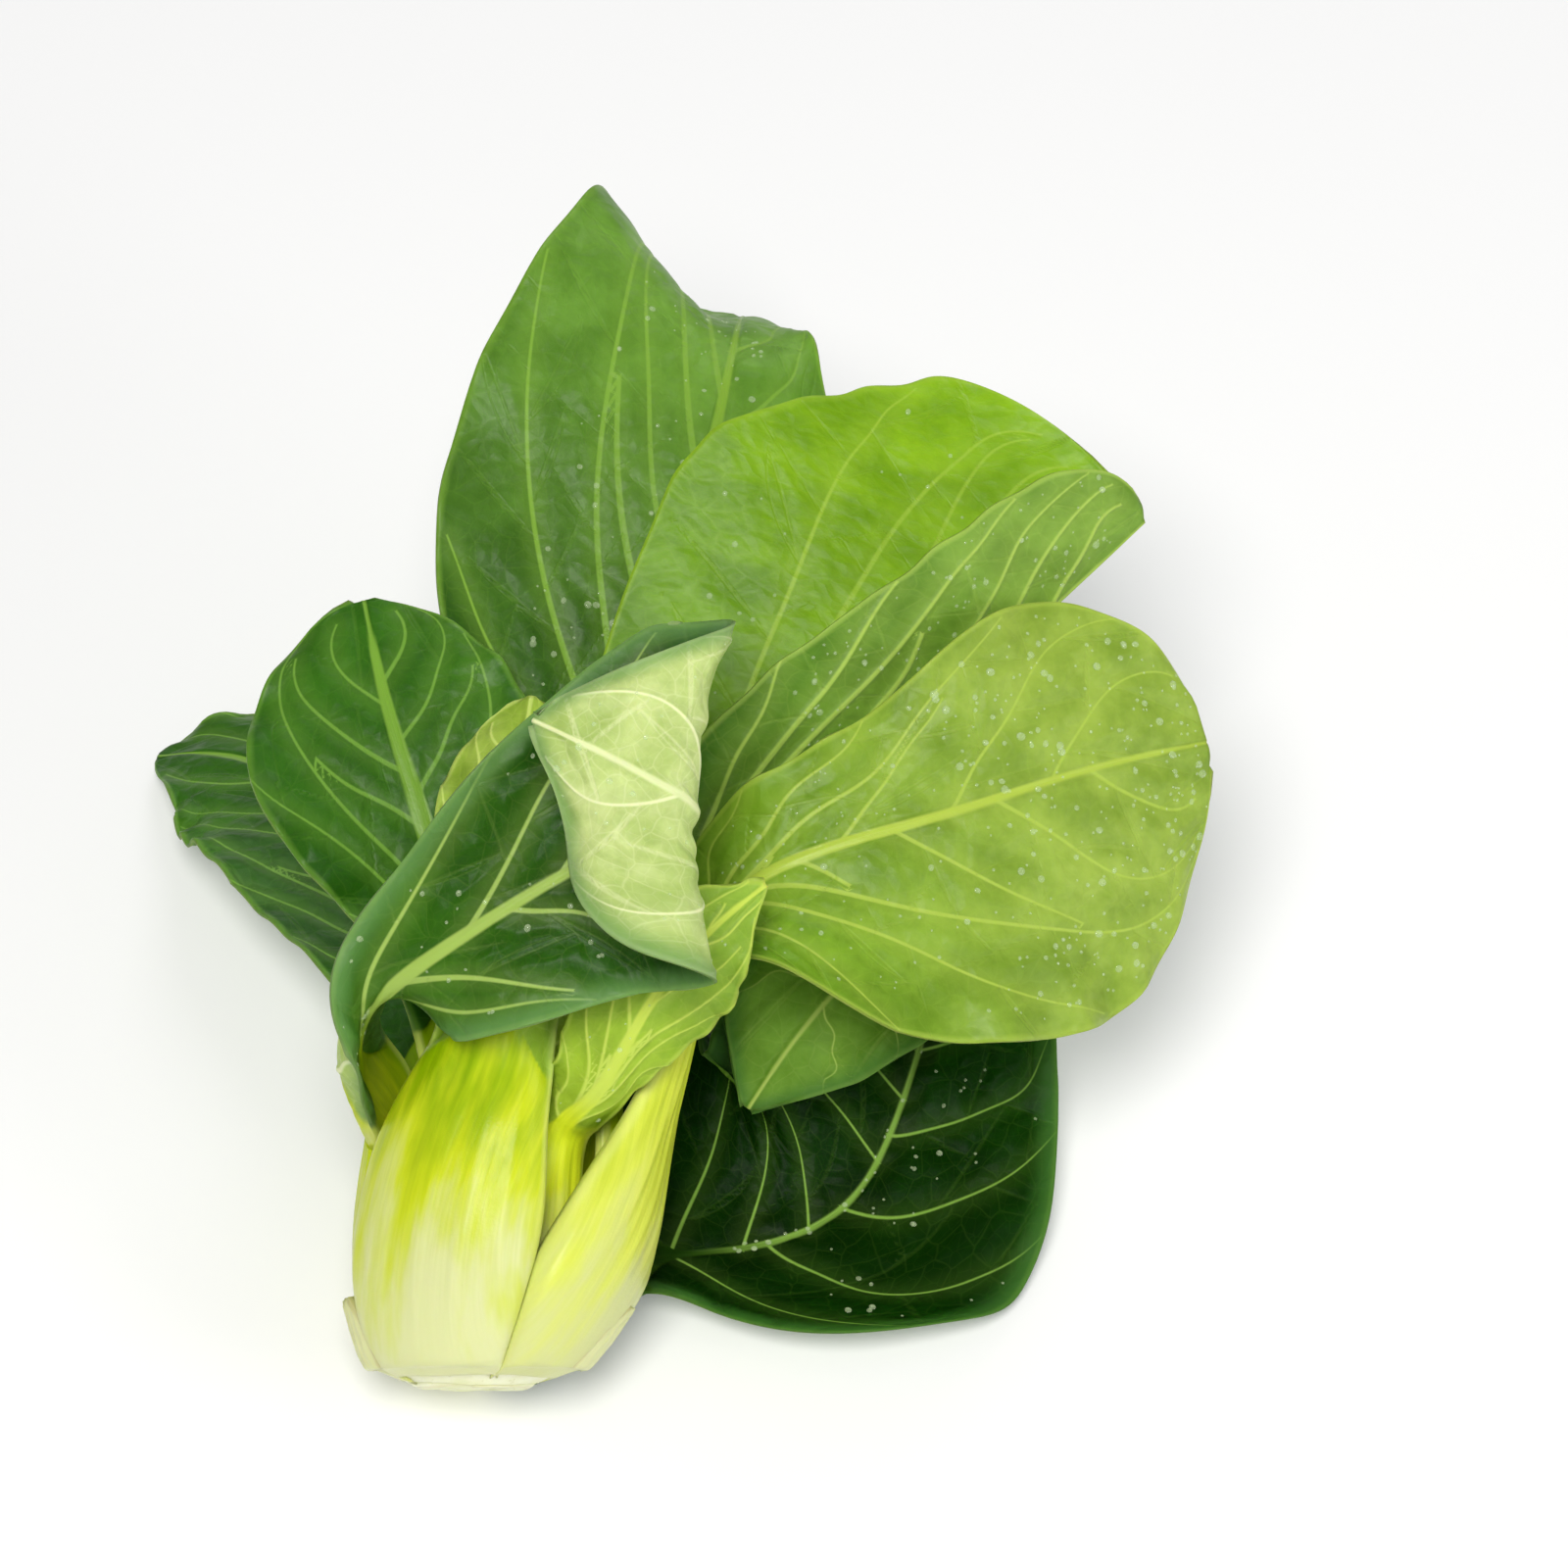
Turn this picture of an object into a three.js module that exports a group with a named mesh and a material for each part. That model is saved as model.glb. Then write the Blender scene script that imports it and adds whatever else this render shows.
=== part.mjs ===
// A head of bok choy lying on its side, millimetres, +Z up.
// The leaves are laid out in the head's own frame (x to the right, y along the head from the cut
// butt to the leaf tips, z out of its upper side), which is then tipped back onto the floor.
import * as THREE from "three";

// ---- the head ----
const LEAN = 9; // degrees that the core leans to the right
const RECLINE = 8; // degrees that the core leans away from the head frame's z
const TIP_BACK = 50; // degrees between the head frame's z and the horizontal
const FLOOR_DROP = 12; // from the middle of the cut face down to the floor
const PRESSED = 1.6; // the underside lies flat on the floor where it comes this close
const CUT_RADIUS = 13;
const BUTT_RADIUS = 14.2;
const BUTT_HEIGHT = 2.6;
const STALK_FOOT = 3.6; // height on the core at which the stalks start
const BULB_HEIGHTS = [STALK_FOOT, 9, 18, 30, 43];
const BULB_RADII = [9.9, 13.7, 17.4, 19.8, 19.6]; // to the inner faces of the outermost stalks
const WHORL_STEP = 6; // from one ring of stalks to the next one in
const CORE_RADIUS = 2.4; // the innermost stalks come no closer to the core's middle
const CLASP = 1.06; // a stalk's half width over its arc on the ring
const STALK_FLATNESS = 0.85; // a stalk's bend over the ring's
const TRIM_SLOPE = 0.16; // tilt of the cut across the core, which squares it to the head frame's y
const TRIM_REACH = 30; // height on the core by which the tilt has faded
const FUSED_HEIGHT = 24; // around this height the stalks' margins change from thick to rounded

// ---- the leaves ----
const MARGIN_THICKNESS = 1;
const OUTER_STALK_THICKNESS = 6.3;
const INNER_STALK_THICKNESS = 4.7;
const STALK_THINNING = 0.45; // share of its thickness that a stalk loses by the foot of the blade
const MIDRIB_THINNING = 0.82; // share of the rest that the midrib loses by the tip
const MIDRIB_HALF_FOOT = 5.7; // half width of the midrib at the foot of the blade
const MIDRIB_HALF_TIP = 0.7;
const SEAM = 0.26; // half the gap between a midrib and its blade
const LAST_ROW = 0.994; // a blade stops just short of its tip point
const NORMAL_STEP = 0.004;
const RIB_END = 0.86; // where along a leaf its midrib ends
const WING_START = 1; // a blade starts where its wings are this wide beside the stalk
const STALK_CELLS = 5;
const WING_CELLS = 4;
const LEAF_ROWS = 20;
const STUB_ROWS = 6;

// ---- the cut-off bases of old leaves, just outside the stalks; radii are to their inner faces ----
const STUB_FLARE = [0, 0, 24, 24];
const STUBS = [
  {
    name: "stub", azimuth: -86, heights: [3.8, 7, 10.5, 14], radii: [18, 20.1, 21.9, 23],
    widths: [4.5, 5, 4.5, 3],
  },
  {
    name: "stub_right", azimuth: 86, heights: [3.8, 7, 10, 13], radii: [17.7, 20.1, 21.8, 23],
    widths: [6.5, 6.5, 5, 3],
  },
];
const STUB_THICKNESS = 1.3;

// ---- colours ----
const STALK_COLOUR = 0xd3dd62;
const BUTT_COLOUR = 0xe4e8b4;
const BLADE_COLOUR = 0x4f8a28;
const YOUNG_BLADE_COLOUR = 0x8dbb3a;

const radians = THREE.MathUtils.degToRad;
const { clamp, smoothstep } = THREE.MathUtils;
const vector = (x, y, z) => new THREE.Vector3(x, y, z);

const CORE_AXIS = vector(
  Math.sin(radians(LEAN)) * Math.cos(radians(RECLINE)),
  Math.cos(radians(LEAN)) * Math.cos(radians(RECLINE)),
  -Math.sin(radians(RECLINE)),
);
const CORE_RIGHT = CORE_AXIS.clone().cross(vector(0, 0, 1)).normalize();
const CORE_FRONT = CORE_RIGHT.clone().cross(CORE_AXIS);

/** Unit vector out of the core at an azimuth: 0 is the upper side of the head, 90 its right. */
function outward(azimuth) {
  const a = radians(azimuth);
  return CORE_RIGHT.clone().multiplyScalar(Math.sin(a)).addScaledVector(CORE_FRONT, Math.cos(a));
}

/** Head frame to the world: tipped back, with the floor at zero. */
function onFloor(p, pressed = 0) {
  const c = Math.cos(radians(TIP_BACK));
  const s = Math.sin(radians(TIP_BACK));
  const height = p.y * c + p.z * s + FLOOR_DROP;
  return vector(p.x, p.y * s - p.z * c, height > pressed ? height : 0);
}

/** Squares the foot of the head to y, although the core leans. */
function trimmed(p) {
  const fade = 1 - smoothstep(p.dot(CORE_AXIS), STALK_FOOT, TRIM_REACH);
  return p.clone().addScaledVector(CORE_AXIS, p.dot(CORE_RIGHT) * TRIM_SLOPE * fade);
}

/** Stalks start on one plane across the core, just clear of the butt. */
function aboveFoot(p) {
  const height = p.dot(CORE_AXIS);
  return height < STALK_FOOT ? p.clone().addScaledVector(CORE_AXIS, STALK_FOOT - height) : p;
}

/**
 * One station of a leaf: a point of its midline, the way its upper face looks, and for its left
 * and right halves the width, the angle at the midrib and at the margin, and the forward sweep.
 */
function station(at, face, half, bend = [0, 0, 0, 0], sweep = [0, 0]) {
  return [...at, ...face, ...half, ...bend, ...sweep];
}

/** The stations of a stalk in the bulb; plus and minus are its reach in azimuth at each height. */
function bulbStations(spec) {
  const { azimuth, ring, plus, minus } = spec;
  const { roll = 6, out = 0, flatness = STALK_FLATNESS, rows = 5 } = spec;
  return BULB_HEIGHTS.slice(0, rows).map((height, k) => {
    const turn = Array.isArray(azimuth) ? azimuth[k] : azimuth;
    const radius = Math.max(BULB_RADII[k] - ring * WHORL_STEP, CORE_RADIUS) + out;
    const at = CORE_AXIS.clone().multiplyScalar(height).addScaledVector(outward(turn), radius);
    const half = [plus[k], minus[k]].map((reach) => radians(reach) * radius * CLASP);
    const bow = flatness + (1 - flatness) * Math.max(0, 1 - height / FUSED_HEIGHT);
    const bend = [0, 0, plus[k] * bow, minus[k] * bow];
    return station(at.toArray(), outward(turn + roll).negate().toArray(), half, bend);
  });
}

/** Uniform cubic B-spline through rows of numbers, from the first row at 0 to the last at 1. */
function spline(rows, t) {
  const last = rows.length - 1;
  const beyond = (a, b) => a.map((value, k) => 2 * value - b[k]);
  const padded = [beyond(rows[0], rows[1]), ...rows, beyond(rows[last], rows[last - 1])];
  const place = clamp(t, 0, 1) * last;
  const i = Math.min(Math.floor(place), last - 1);
  const f = place - i;
  const weights = [
    (1 - f) ** 3 / 6,
    (3 * f ** 3 - 6 * f ** 2 + 4) / 6,
    (-3 * f ** 3 + 3 * f ** 2 + 3 * f + 1) / 6,
    f ** 3 / 6,
  ];
  return rows[0].map((_, k) => weights.reduce((sum, w, j) => sum + w * padded[i + j][k], 0));
}

/** A leaf as a surface: along (0 foot, 1 tip) and across (-1 left margin, 1 right margin). */
class Leaf {
  constructor({ stations, stalkEnd, bladeStart, tip, tipPower = 2, ruffle, thickness, fusing = 0 }) {
    this.rows = stations;
    Object.assign(this, { stalkEnd, bladeStart, tip, tipPower, ruffle, thickness, fusing });
    this.measure();
  }

  /** Tables arc length against the spline's own parameter. */
  measure(steps = 800) {
    const middle = (k) => vector(...spline(this.rows, k / steps));
    this.lengths = [0];
    let before = middle(0);
    for (let k = 1; k <= steps; k += 1) {
      const here = middle(k);
      this.lengths.push(this.lengths[k - 1] + here.distanceTo(before));
      before = here;
    }
    this.length = this.lengths[steps];
  }

  parameter(along) {
    const target = clamp(along, 0, 1) * this.length;
    const steps = this.lengths.length - 1;
    let k = 1;
    while (k < steps && this.lengths[k] < target) k += 1;
    const share = (target - this.lengths[k - 1]) / (this.lengths[k] - this.lengths[k - 1]);
    return (k - 1 + share) / steps;
  }

  /** Everything about the leaf at one place along it. */
  section(along) {
    const t = this.parameter(along);
    const row = spline(this.rows, t);
    const step = 1e-3;
    const ahead = vector(...spline(this.rows, Math.min(t + step, 1)));
    const tangent = ahead.sub(vector(...spline(this.rows, Math.max(t - step, 0)))).normalize();
    const face = vector(row[3], row[4], row[5]);
    face.addScaledVector(tangent, -face.dot(tangent)).normalize();
    const towardsTip = clamp((along - this.tip) / (1 - this.tip), 0, 1);
    const rounding = (1 - towardsTip ** this.tipPower) ** (1 / this.tipPower);
    const up = clamp((along - this.bladeStart) / (1 - this.bladeStart), 0, 1);
    const narrowing = smoothstep(along, this.stalkEnd, this.bladeStart);
    const midrib = (MIDRIB_HALF_FOOT - MIDRIB_HALF_TIP) * (1 - up) ** 1.3 + MIDRIB_HALF_TIP;
    const half = [row[6] * rounding, row[7] * rounding];
    return {
      middle: vector(row[0], row[1], row[2]), tangent, face, half, up,
      side: tangent.clone().cross(face),
      lift: [radians(row[8]), radians(row[9])],
      curl: [radians(row[10]), radians(row[11])],
      sweep: [radians(row[12]), radians(row[13])],
      rib: half.map((width) => Math.min(width * (1 - narrowing) + midrib * narrowing, width)),
    };
  }

  /** A point of the upper face. */
  upper(along, across) {
    const { middle, tangent, face, side, half, lift, curl, sweep, up } = this.section(along);
    const k = across < 0 ? 0 : 1;
    const reach = Math.abs(across);
    const turn = curl[k] - lift[k];
    const end = lift[k] + turn * reach;
    const flat = Math.abs(turn) < 1e-6;
    const outwards = flat ? reach * Math.cos(lift[k]) : (Math.sin(end) - Math.sin(lift[k])) / turn;
    const upwards = flat ? reach * Math.sin(lift[k]) : (Math.cos(lift[k]) - Math.cos(end)) / turn;
    const { amplitude, waves, phase } = this.ruffle;
    const wave = Math.sin(2 * Math.PI * waves * along + phase + k * 2.1);
    const lifted = upwards * half[k] + amplitude * reach ** 2 * Math.sqrt(Math.sin(Math.PI * up)) * wave;
    return middle
      .addScaledVector(side, (k ? 1 : -1) * outwards * half[k] * Math.cos(sweep[k]))
      .addScaledVector(tangent, outwards * half[k] * Math.sin(sweep[k]))
      .addScaledVector(face, lifted);
  }

  /** Thickness: a thick stalk and midrib, thin margins. */
  depth(along, across) {
    const { half, rib, up } = this.section(along);
    const k = across < 0 ? 0 : 1;
    const fused = 1 - smoothstep(along * this.length, FUSED_HEIGHT * 0.5, FUSED_HEIGHT * 1.3);
    const power = 3.4 + 9 * fused * this.fusing;
    const ridge = (1 - clamp((Math.abs(across) * half[k]) / rib[k], 0, 1) ** power) ** 0.7;
    const grown = smoothstep(along, 0, this.bladeStart);
    const thick = this.thickness * (1 - STALK_THINNING * grown) * (1 - MIDRIB_THINNING * up ** 0.8);
    return MARGIN_THICKNESS + Math.max(thick - MARGIN_THICKNESS, 0.2) * ridge;
  }

  /** The points of both faces at one place, in the world. */
  pair(along, across) {
    const top = this.upper(along, across);
    const forwards = this.upper(along + NORMAL_STEP, across)
      .sub(this.upper(Math.max(along - NORMAL_STEP, 0), across));
    const side = across < 0 ? -1 : 1;
    const sidewards = this.upper(along, across + side * NORMAL_STEP).sub(top).multiplyScalar(side);
    const down = forwards.cross(sidewards).normalize();
    if (down.dot(this.section(along).face) > 0) down.negate();
    const bottom = down.multiplyScalar(this.depth(along, across)).add(top);
    return [onFloor(trimmed(aboveFoot(top))), onFloor(trimmed(aboveFoot(bottom)), PRESSED)];
  }
}

/**
 * A closed solid from a sheet: points are [upper, lower] pairs, quads list four of them each in
 * turn as seen from above, and walls follow the sheet's rim.
 */
function solidFromSheet(points, quads) {
  const triangles = quads.flatMap(([a, b, c, d]) => [[a, b, c], [a, c, d]]);
  const edges = new Set(triangles.flatMap(([a, b, c]) => [`${a},${b}`, `${b},${c}`, `${c},${a}`]));
  const upper = (k) => 2 * k;
  const lower = (k) => 2 * k + 1;
  const index = [];
  for (const [a, b, c] of triangles) {
    index.push(upper(a), upper(b), upper(c), lower(c), lower(b), lower(a));
  }
  for (const edge of edges) {
    const [a, b] = edge.split(",").map(Number);
    if (edges.has(`${b},${a}`)) continue;
    index.push(upper(b), upper(a), lower(a), upper(b), lower(a), lower(b));
  }
  const geometry = new THREE.BufferGeometry().setFromPoints(points.flat());
  geometry.setIndex(index);
  return shaded(geometry);
}

/** Faceted shading, so that each face shows its true tilt. */
function shaded(geometry) {
  const flat = geometry.toNonIndexed();
  flat.computeVertexNormals();
  return flat;
}

/** Joins rows of point numbers into quads; a column may share its points from row to row. */
function gridQuads(rows) {
  const quads = [];
  for (let i = 0; i + 1 < rows.length; i += 1) {
    for (let j = 0; j + 1 < rows[i].length; j += 1) {
      quads.push([rows[i][j], rows[i][j + 1], rows[i + 1][j + 1], rows[i + 1][j]]);
    }
  }
  return quads;
}

function spread(count, from, to) {
  return Array.from({ length: count + 1 }, (_, k) => from + ((to - from) * k) / count);
}

/** The stalk of a leaf with its midrib, as far as the row where the midrib ends. */
function stalkGeometry(leaf, alongs, ribEnd) {
  const points = [];
  const rows = alongs.slice(0, ribEnd + 1).map((along) => {
    const { half, rib } = leaf.section(along);
    return spread(STALK_CELLS, -1, 1).map((share) => {
      const k = share < 0 ? 0 : 1;
      const reach = Math.max(rib[k] - SEAM, 0) / half[k];
      return points.push(leaf.pair(along, share * reach)) - 1;
    });
  });
  return solidFromSheet(points, gridQuads(rows));
}

/** The blade of a leaf: two wings beside the midrib that meet beyond its end. */
function bladeGeometry(leaf, alongs, ribEnd) {
  const wide = (along) => {
    const { half, rib } = leaf.section(along);
    return Math.min(half[0] - rib[0], half[1] - rib[1]) > WING_START;
  };
  const first = alongs.findIndex(wide);
  const points = [];
  const add = (along, across) => points.push(leaf.pair(along, across)) - 1;
  const wings = [[], []];
  alongs.slice(first).forEach((along, i) => {
    const { half, rib } = leaf.section(along);
    const joined = first + i > ribEnd;
    const inner = [0, 1].map((k) => (joined ? 0 : (rib[k] + SEAM) / half[k]));
    const left = spread(WING_CELLS, -1, -inner[0]).map((across) => add(along, across));
    const right = spread(WING_CELLS, inner[1], 1).map((across) => add(along, across));
    if (joined) right[0] = left[WING_CELLS];
    wings[0].push(left);
    wings[1].push(right);
  });
  return solidFromSheet(points, wings.flatMap(gridQuads));
}

const LEAVES = [
  {
    name: "front",
    bulb: {
      azimuth: [-27, -27, -26, -24, -18], ring: 0, roll: 0, out: 0.8, flatness: 0.8,
      plus: [44.5, 44, 44.7, 42, 32], minus: [46, 46.8, 49.3, 46.5, 33],
    },
    blade: [
      station([4, 54, 18], [0.1, 0, -1], [9, 9], [0, 0, 40, 40]),
      station([6, 71, 16], [0.1, 0, -1], [10, 12], [0, 0, 40, 40]),
      station([7, 87, 9], [0.1, 0.2, -1], [13, 15], [0, 0, 35, 35]),
      station([8, 102, 1], [0.1, 0.4, -1], [13, 15], [0, 0, 30, 30]),
      station([9, 109, -4], [0.1, 0.5, -1], [10, 11], [0, 0, 30, 30]),
    ],
    stalkEnd: 0.42, bladeStart: 0.55, tip: 0.75,
    ruffle: { amplitude: 1.5, waves: 4, phase: 0 },
  },
  {
    name: "left",
    bulb: {
      azimuth: -110, ring: 0, roll: 8,
      plus: [32, 32, 31, 28, 22], minus: [26, 26, 26, 24, 20],
    },
    blade: [
      station([-19, 50, 4], [1, 0.1, 0.3], [8, 8], [0, 0, 35, 35]),
      station([-16, 61, 19], [0.7, 0.2, 0.7], [9, 8], [0, 0, 25, 25]),
      station([-5, 69, 27], [0.2, 0.2, 0.95], [13, 15], [0, 0, 20, 20]),
      station([6, 76, 29], [0, 0.1, 1], [20, 19], [0, 0, 15, 15], [15, 0]),
      station([19, 84, 30], [0, 0, 1], [25, 22], [0, 0, 5, 5], [10, 0]),
      station([31, 88, 32], [-0.5, 0, 0.85], [30, 25]),
      station([37, 91, 40], [-1, 0, 0], [33, 26]),
      station([31, 95, 47], [-0.2, 0, -1], [29, 24]),
      station([22, 100, 48], [0.1, 0, -1], [18, 14]),
      station([11, 105, 46], [0.2, 0, -1], [7, 6]),
    ],
    stalkEnd: 0.28, bladeStart: 0.37, tip: 0.9, rowCount: 30,
    ruffle: { amplitude: 1.5, waves: 5, phase: 1 },
  },
  {
    name: "right",
    bulb: {
      azimuth: [62, 62, 64, 70, 80], ring: 0, roll: 2, out: 0.2, flatness: 0.8,
      plus: [46, 46, 46, 42, 34], minus: [43.2, 42.8, 42.4, 38, 29],
    },
    blade: [
      station([31, 54, -3], [-1, 0, 0.1], [8, 8], [0, 0, 40, 40]),
      station([34, 69, -3], [-0.9, 0.2, 0.4], [7, 8], [0, 0, 35, 35]),
      station([42, 80, 0], [-0.4, 0.4, 0.85], [9, 20], [0, 0, 25, 25]),
      station([57, 86, 1], [0, 0.2, 1], [15, 34], [0, 0, 15, 15]),
      station([77, 91, -2], [0.1, 0.1, 1], [22, 38], [0, 0, 5, -5]),
      station([97, 98, -8], [0.2, 0.1, 1], [35, 45], [0, 0, 0, -15]),
      station([117, 102, -20], [0.4, 0.1, 0.9], [32, 38], [0, 0, 0, -20]),
    ],
    stalkEnd: 0.34, bladeStart: 0.47, tip: 0.7, tipPower: 2.2,
    ruffle: { amplitude: 2, waves: 5, phase: 2 },
  },
  {
    name: "under_right",
    bulb: { azimuth: 140, ring: 0, roll: 3, plus: [27, 27, 27], minus: [27, 27, 27], rows: 3 },
    blade: [
      station([24, 19, -22], [-0.1, 0.55, 0.8], [20, 8], [10, 0, 30, 30]),
      station([36, 19, -26], [0, 0.64, 0.77], [38, 12], [15, 0, 30, 0]),
      station([50, 21, -27], [0, 0.64, 0.77], [40, 28], [20, 0, 35, -8]),
      station([61, 27, -31], [0.1, 0.6, 0.78], [34, 34], [20, 0, 40, -10]),
      station([67, 39, -36], [0.1, 0.6, 0.78], [28, 31], [20, 0, 40, -10]),
      station([72, 54, -41], [0, 0.6, 0.8], [24, 23], [10, 0, 30, -5]),
      station([74, 64, -38], [-0.3, -0.2, 0.93], [22, 19], [0, 0, 10, 0]),
      station([68, 70, -28], [-0.5, -0.75, 0.1], [21, 18]),
      station([59, 64, -21], [-0.2, -0.5, -0.8], [18, 16]),
      station([50, 54, -18], [0, 0.1, -1], [14, 12]),
      station([43, 43, -17], [0, 0.1, -1], [6, 5]),
    ],
    stalkEnd: 0.16, bladeStart: 0.26, tip: 0.9, rowCount: 30,
    ruffle: { amplitude: 1.2, waves: 5, phase: 2 },
  },
  {
    name: "under_left",
    bulb: { azimuth: 197, ring: 0, roll: 3, plus: [26, 26, 26, 25, 23], minus: [26, 26, 26, 25, 22] },
    blade: [
      station([-5, 58, -36], [0.1, 0.6, 0.8], [16, 12], [0, 0, 25, 30]),
      station([-16, 78, -57], [0.1, 0.7, 0.7], [24, 19], [0, 0, 15, 20]),
      station([-30, 94, -80], [0, 0.8, 0.6], [27, 27], [0, 0, 10, 10]),
      station([-46, 101, -92], [-0.1, 0.9, 0.5], [27, 27]),
      station([-60, 100, -96], [-0.3, 0.9, 0.5], [21, 21]),
    ],
    stalkEnd: 0.4, bladeStart: 0.5, tip: 0.7,
    ruffle: { amplitude: 1.5, waves: 4, phase: 2 },
  },
  {
    name: "tall",
    bulb: { azimuth: 163, ring: 1, plus: [32, 32, 32, 30, 28], minus: [32, 32, 32, 30, 28] },
    blade: [
      station([15, 60, -17], [0, 0, 1], [7, 7], [0, 0, 35, 35]),
      station([19, 83, -23], [0, 0, 1], [12, 10], [0, 0, 25, 25]),
      station([26, 108, -28], [0, 0.1, 1], [40, 23], [0, 0, 15, 5], [8, 0]),
      station([33, 134, -32], [0, 0.1, 1], [46, 27], [0, 0, 8, -5], [22, 0]),
      station([38, 154, -36], [0, 0.3, 1], [44, 25], [0, 0, 0, -20], [44, -8]),
      station([41, 171, -46], [0, 0.7, 0.7], [46, 20], [0, 0, 0, -30], [62, -30]),
      station([42, 174, -66], [0, 1, 0.2], [26, 20], [0, 0, 20, -20], [40, -30]),
    ],
    stalkEnd: 0.38, bladeStart: 0.48, tip: 0.85, thickness: INNER_STALK_THICKNESS,
    ruffle: { amplitude: 2, waves: 4, phase: 0 },
  },
  {
    name: "folded",
    bulb: { azimuth: 98, ring: 1, plus: [31, 31, 31, 30, 28], minus: [31, 31, 31, 30, 28] },
    blade: [
      station([19, 53, -7], [-1, 0.1, 0.1], [7, 7], [0, 0, 35, 35]),
      station([24, 72, -9], [-1, 0.4, 0.1], [7, 7], [30, 20, 60, 50], [10, 10]),
      station([34, 86, -11], [-0.7, 0.7, 0.1], [32, 15], [62, 45, 82, 75], [30, 25]),
      station([50, 95, -12], [-0.55, 0.83, 0.1], [58, 20], [66, 50, 82, 82], [34, 33]),
      station([67, 105, -14], [-0.5, 0.85, 0.1], [56, 23], [68, 50, 84, 82], [34, 33]),
      station([86, 118, -18], [-0.6, 0.8, 0.1], [50, 23], [66, 50, 82, 82], [34, 33]),
      station([107, 138, -24], [-0.6, 0.8, 0.1], [34, 16], [62, 45, 76, 72], [30, 30]),
    ],
    stalkEnd: 0.4, bladeStart: 0.5, tip: 0.9, tipPower: 2.4, thickness: INNER_STALK_THICKNESS,
    ruffle: { amplitude: 1.5, waves: 4, phase: 1 },
  },
  {
    name: "inner_right", young: true,
    bulb: { azimuth: [32, 32, 30, 26, 22], ring: 1, plus: [31, 31, 31, 28, 24], minus: [42, 42, 40, 36, 28] },
    blade: [
      station([18.3, 46, 12.4], [-0.4, 0, -0.9], [7, 8], [0, 0, 35, 35]),
      station([23.8, 55, 16.8], [-0.4, 0.1, -0.9], [8, 9], [0, 0, 20, 30]),
      station([29, 64, 20], [-0.3, 0.2, -0.9], [14, 13], [0, 0, 10, 20]),
      station([37, 73, 21], [-0.2, 0.3, -0.9], [14, 12], [0, 0, 0, 10]),
      station([46, 80, 19], [-0.1, 0.4, -0.9], [8, 7], [0, 0, 0, 10]),
    ],
    stalkEnd: 0.36, bladeStart: 0.48, tip: 0.72, tipPower: 1.5, thickness: 4.6,
    ruffle: { amplitude: 1.5, waves: 4, phase: 1 },
  },
  {
    name: "inner_left",
    bulb: { azimuth: 233, ring: 1, out: -0.8, plus: [34, 34, 34, 32, 28], minus: [32, 32, 32, 30, 26] },
    blade: [
      station([-1, 53, -8], [0.3, 0, 1], [8, 8], [0, 0, 40, 40]),
      station([-4, 74, -10], [0.3, 0, 1], [14, 12], [0, 0, 30, 30]),
      station([-9, 91, -10], [0.2, 0.1, 1], [24, 20], [0, 0, 20, 20]),
      station([-15, 108, -14], [0.1, 0.1, 1], [26, 24], [0, 0, 0, 10]),
      station([-19, 125, -24], [0, 0.6, 0.8], [22, 20], [0, 0, -20, -10]),
    ],
    stalkEnd: 0.42, bladeStart: 0.5, tip: 0.75, thickness: INNER_STALK_THICKNESS,
    ruffle: { amplitude: 1.5, waves: 4, phase: 1 },
  },
  {
    name: "heart", young: true,
    bulb: { azimuth: -50, ring: 1, out: -0.4, plus: [38, 38, 38, 36, 32], minus: [36, 36, 36, 34, 30] },
    blade: [
      station([10, 54, 6], [0.1, 0, -1], [7, 7], [0, 0, 40, 40]),
      station([13, 70, 6], [0.1, 0, -1], [10, 10], [0, 0, 40, 40]),
      station([16, 86, 3], [0.1, 0.2, -1], [11, 11], [0, 0, 40, 40]),
      station([17, 95, -4], [0.1, 0.3, -1], [8, 8], [0, 0, 40, 40]),
    ],
    stalkEnd: 0.42, bladeStart: 0.5, tip: 0.7, thickness: 4.5,
    ruffle: { amplitude: 1, waves: 4, phase: 1 },
  },
];

function stubLeaf({ azimuth, heights, radii, widths }) {
  const stations = heights.map((height, k) => {
    const at = CORE_AXIS.clone().multiplyScalar(height).addScaledVector(outward(azimuth), radii[k]);
    return station(at.toArray(), outward(azimuth).negate().toArray(), [widths[k], widths[k]], STUB_FLARE);
  });
  return new Leaf({
    stations, stalkEnd: 0.997, bladeStart: 0.999, tip: 0.5, thickness: STUB_THICKNESS,
    ruffle: { amplitude: 0, waves: 0, phase: 0 },
  });
}

/** The butt: the cut end of the core that every stalk grows from. */
function buttGeometry() {
  const profile = [
    [0, 0],
    [CUT_RADIUS, 0],
    [BUTT_RADIUS - 0.6, BUTT_HEIGHT * 0.55],
    [BUTT_RADIUS, BUTT_HEIGHT],
    [0, BUTT_HEIGHT],
  ];
  const lathe = new THREE.LatheGeometry(profile.map(([x, y]) => new THREE.Vector2(x, y)), 48);
  lathe.applyMatrix4(new THREE.Matrix4().makeBasis(CORE_RIGHT, CORE_AXIS, CORE_FRONT));
  const position = lathe.getAttribute("position");
  for (let k = 0; k < position.count; k += 1) {
    const p = onFloor(trimmed(vector(position.getX(k), position.getY(k), position.getZ(k))));
    position.setXYZ(k, p.x, p.y, p.z);
  }
  return shaded(lathe);
}

function matte(color, roughness) {
  return new THREE.MeshStandardMaterial({ color, roughness, metalness: 0 });
}

const stalkMaterial = matte(STALK_COLOUR, 0.4);
const bladeMaterial = matte(BLADE_COLOUR, 0.5);
const youngBladeMaterial = matte(YOUNG_BLADE_COLOUR, 0.5);

const head = new THREE.Group();

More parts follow.
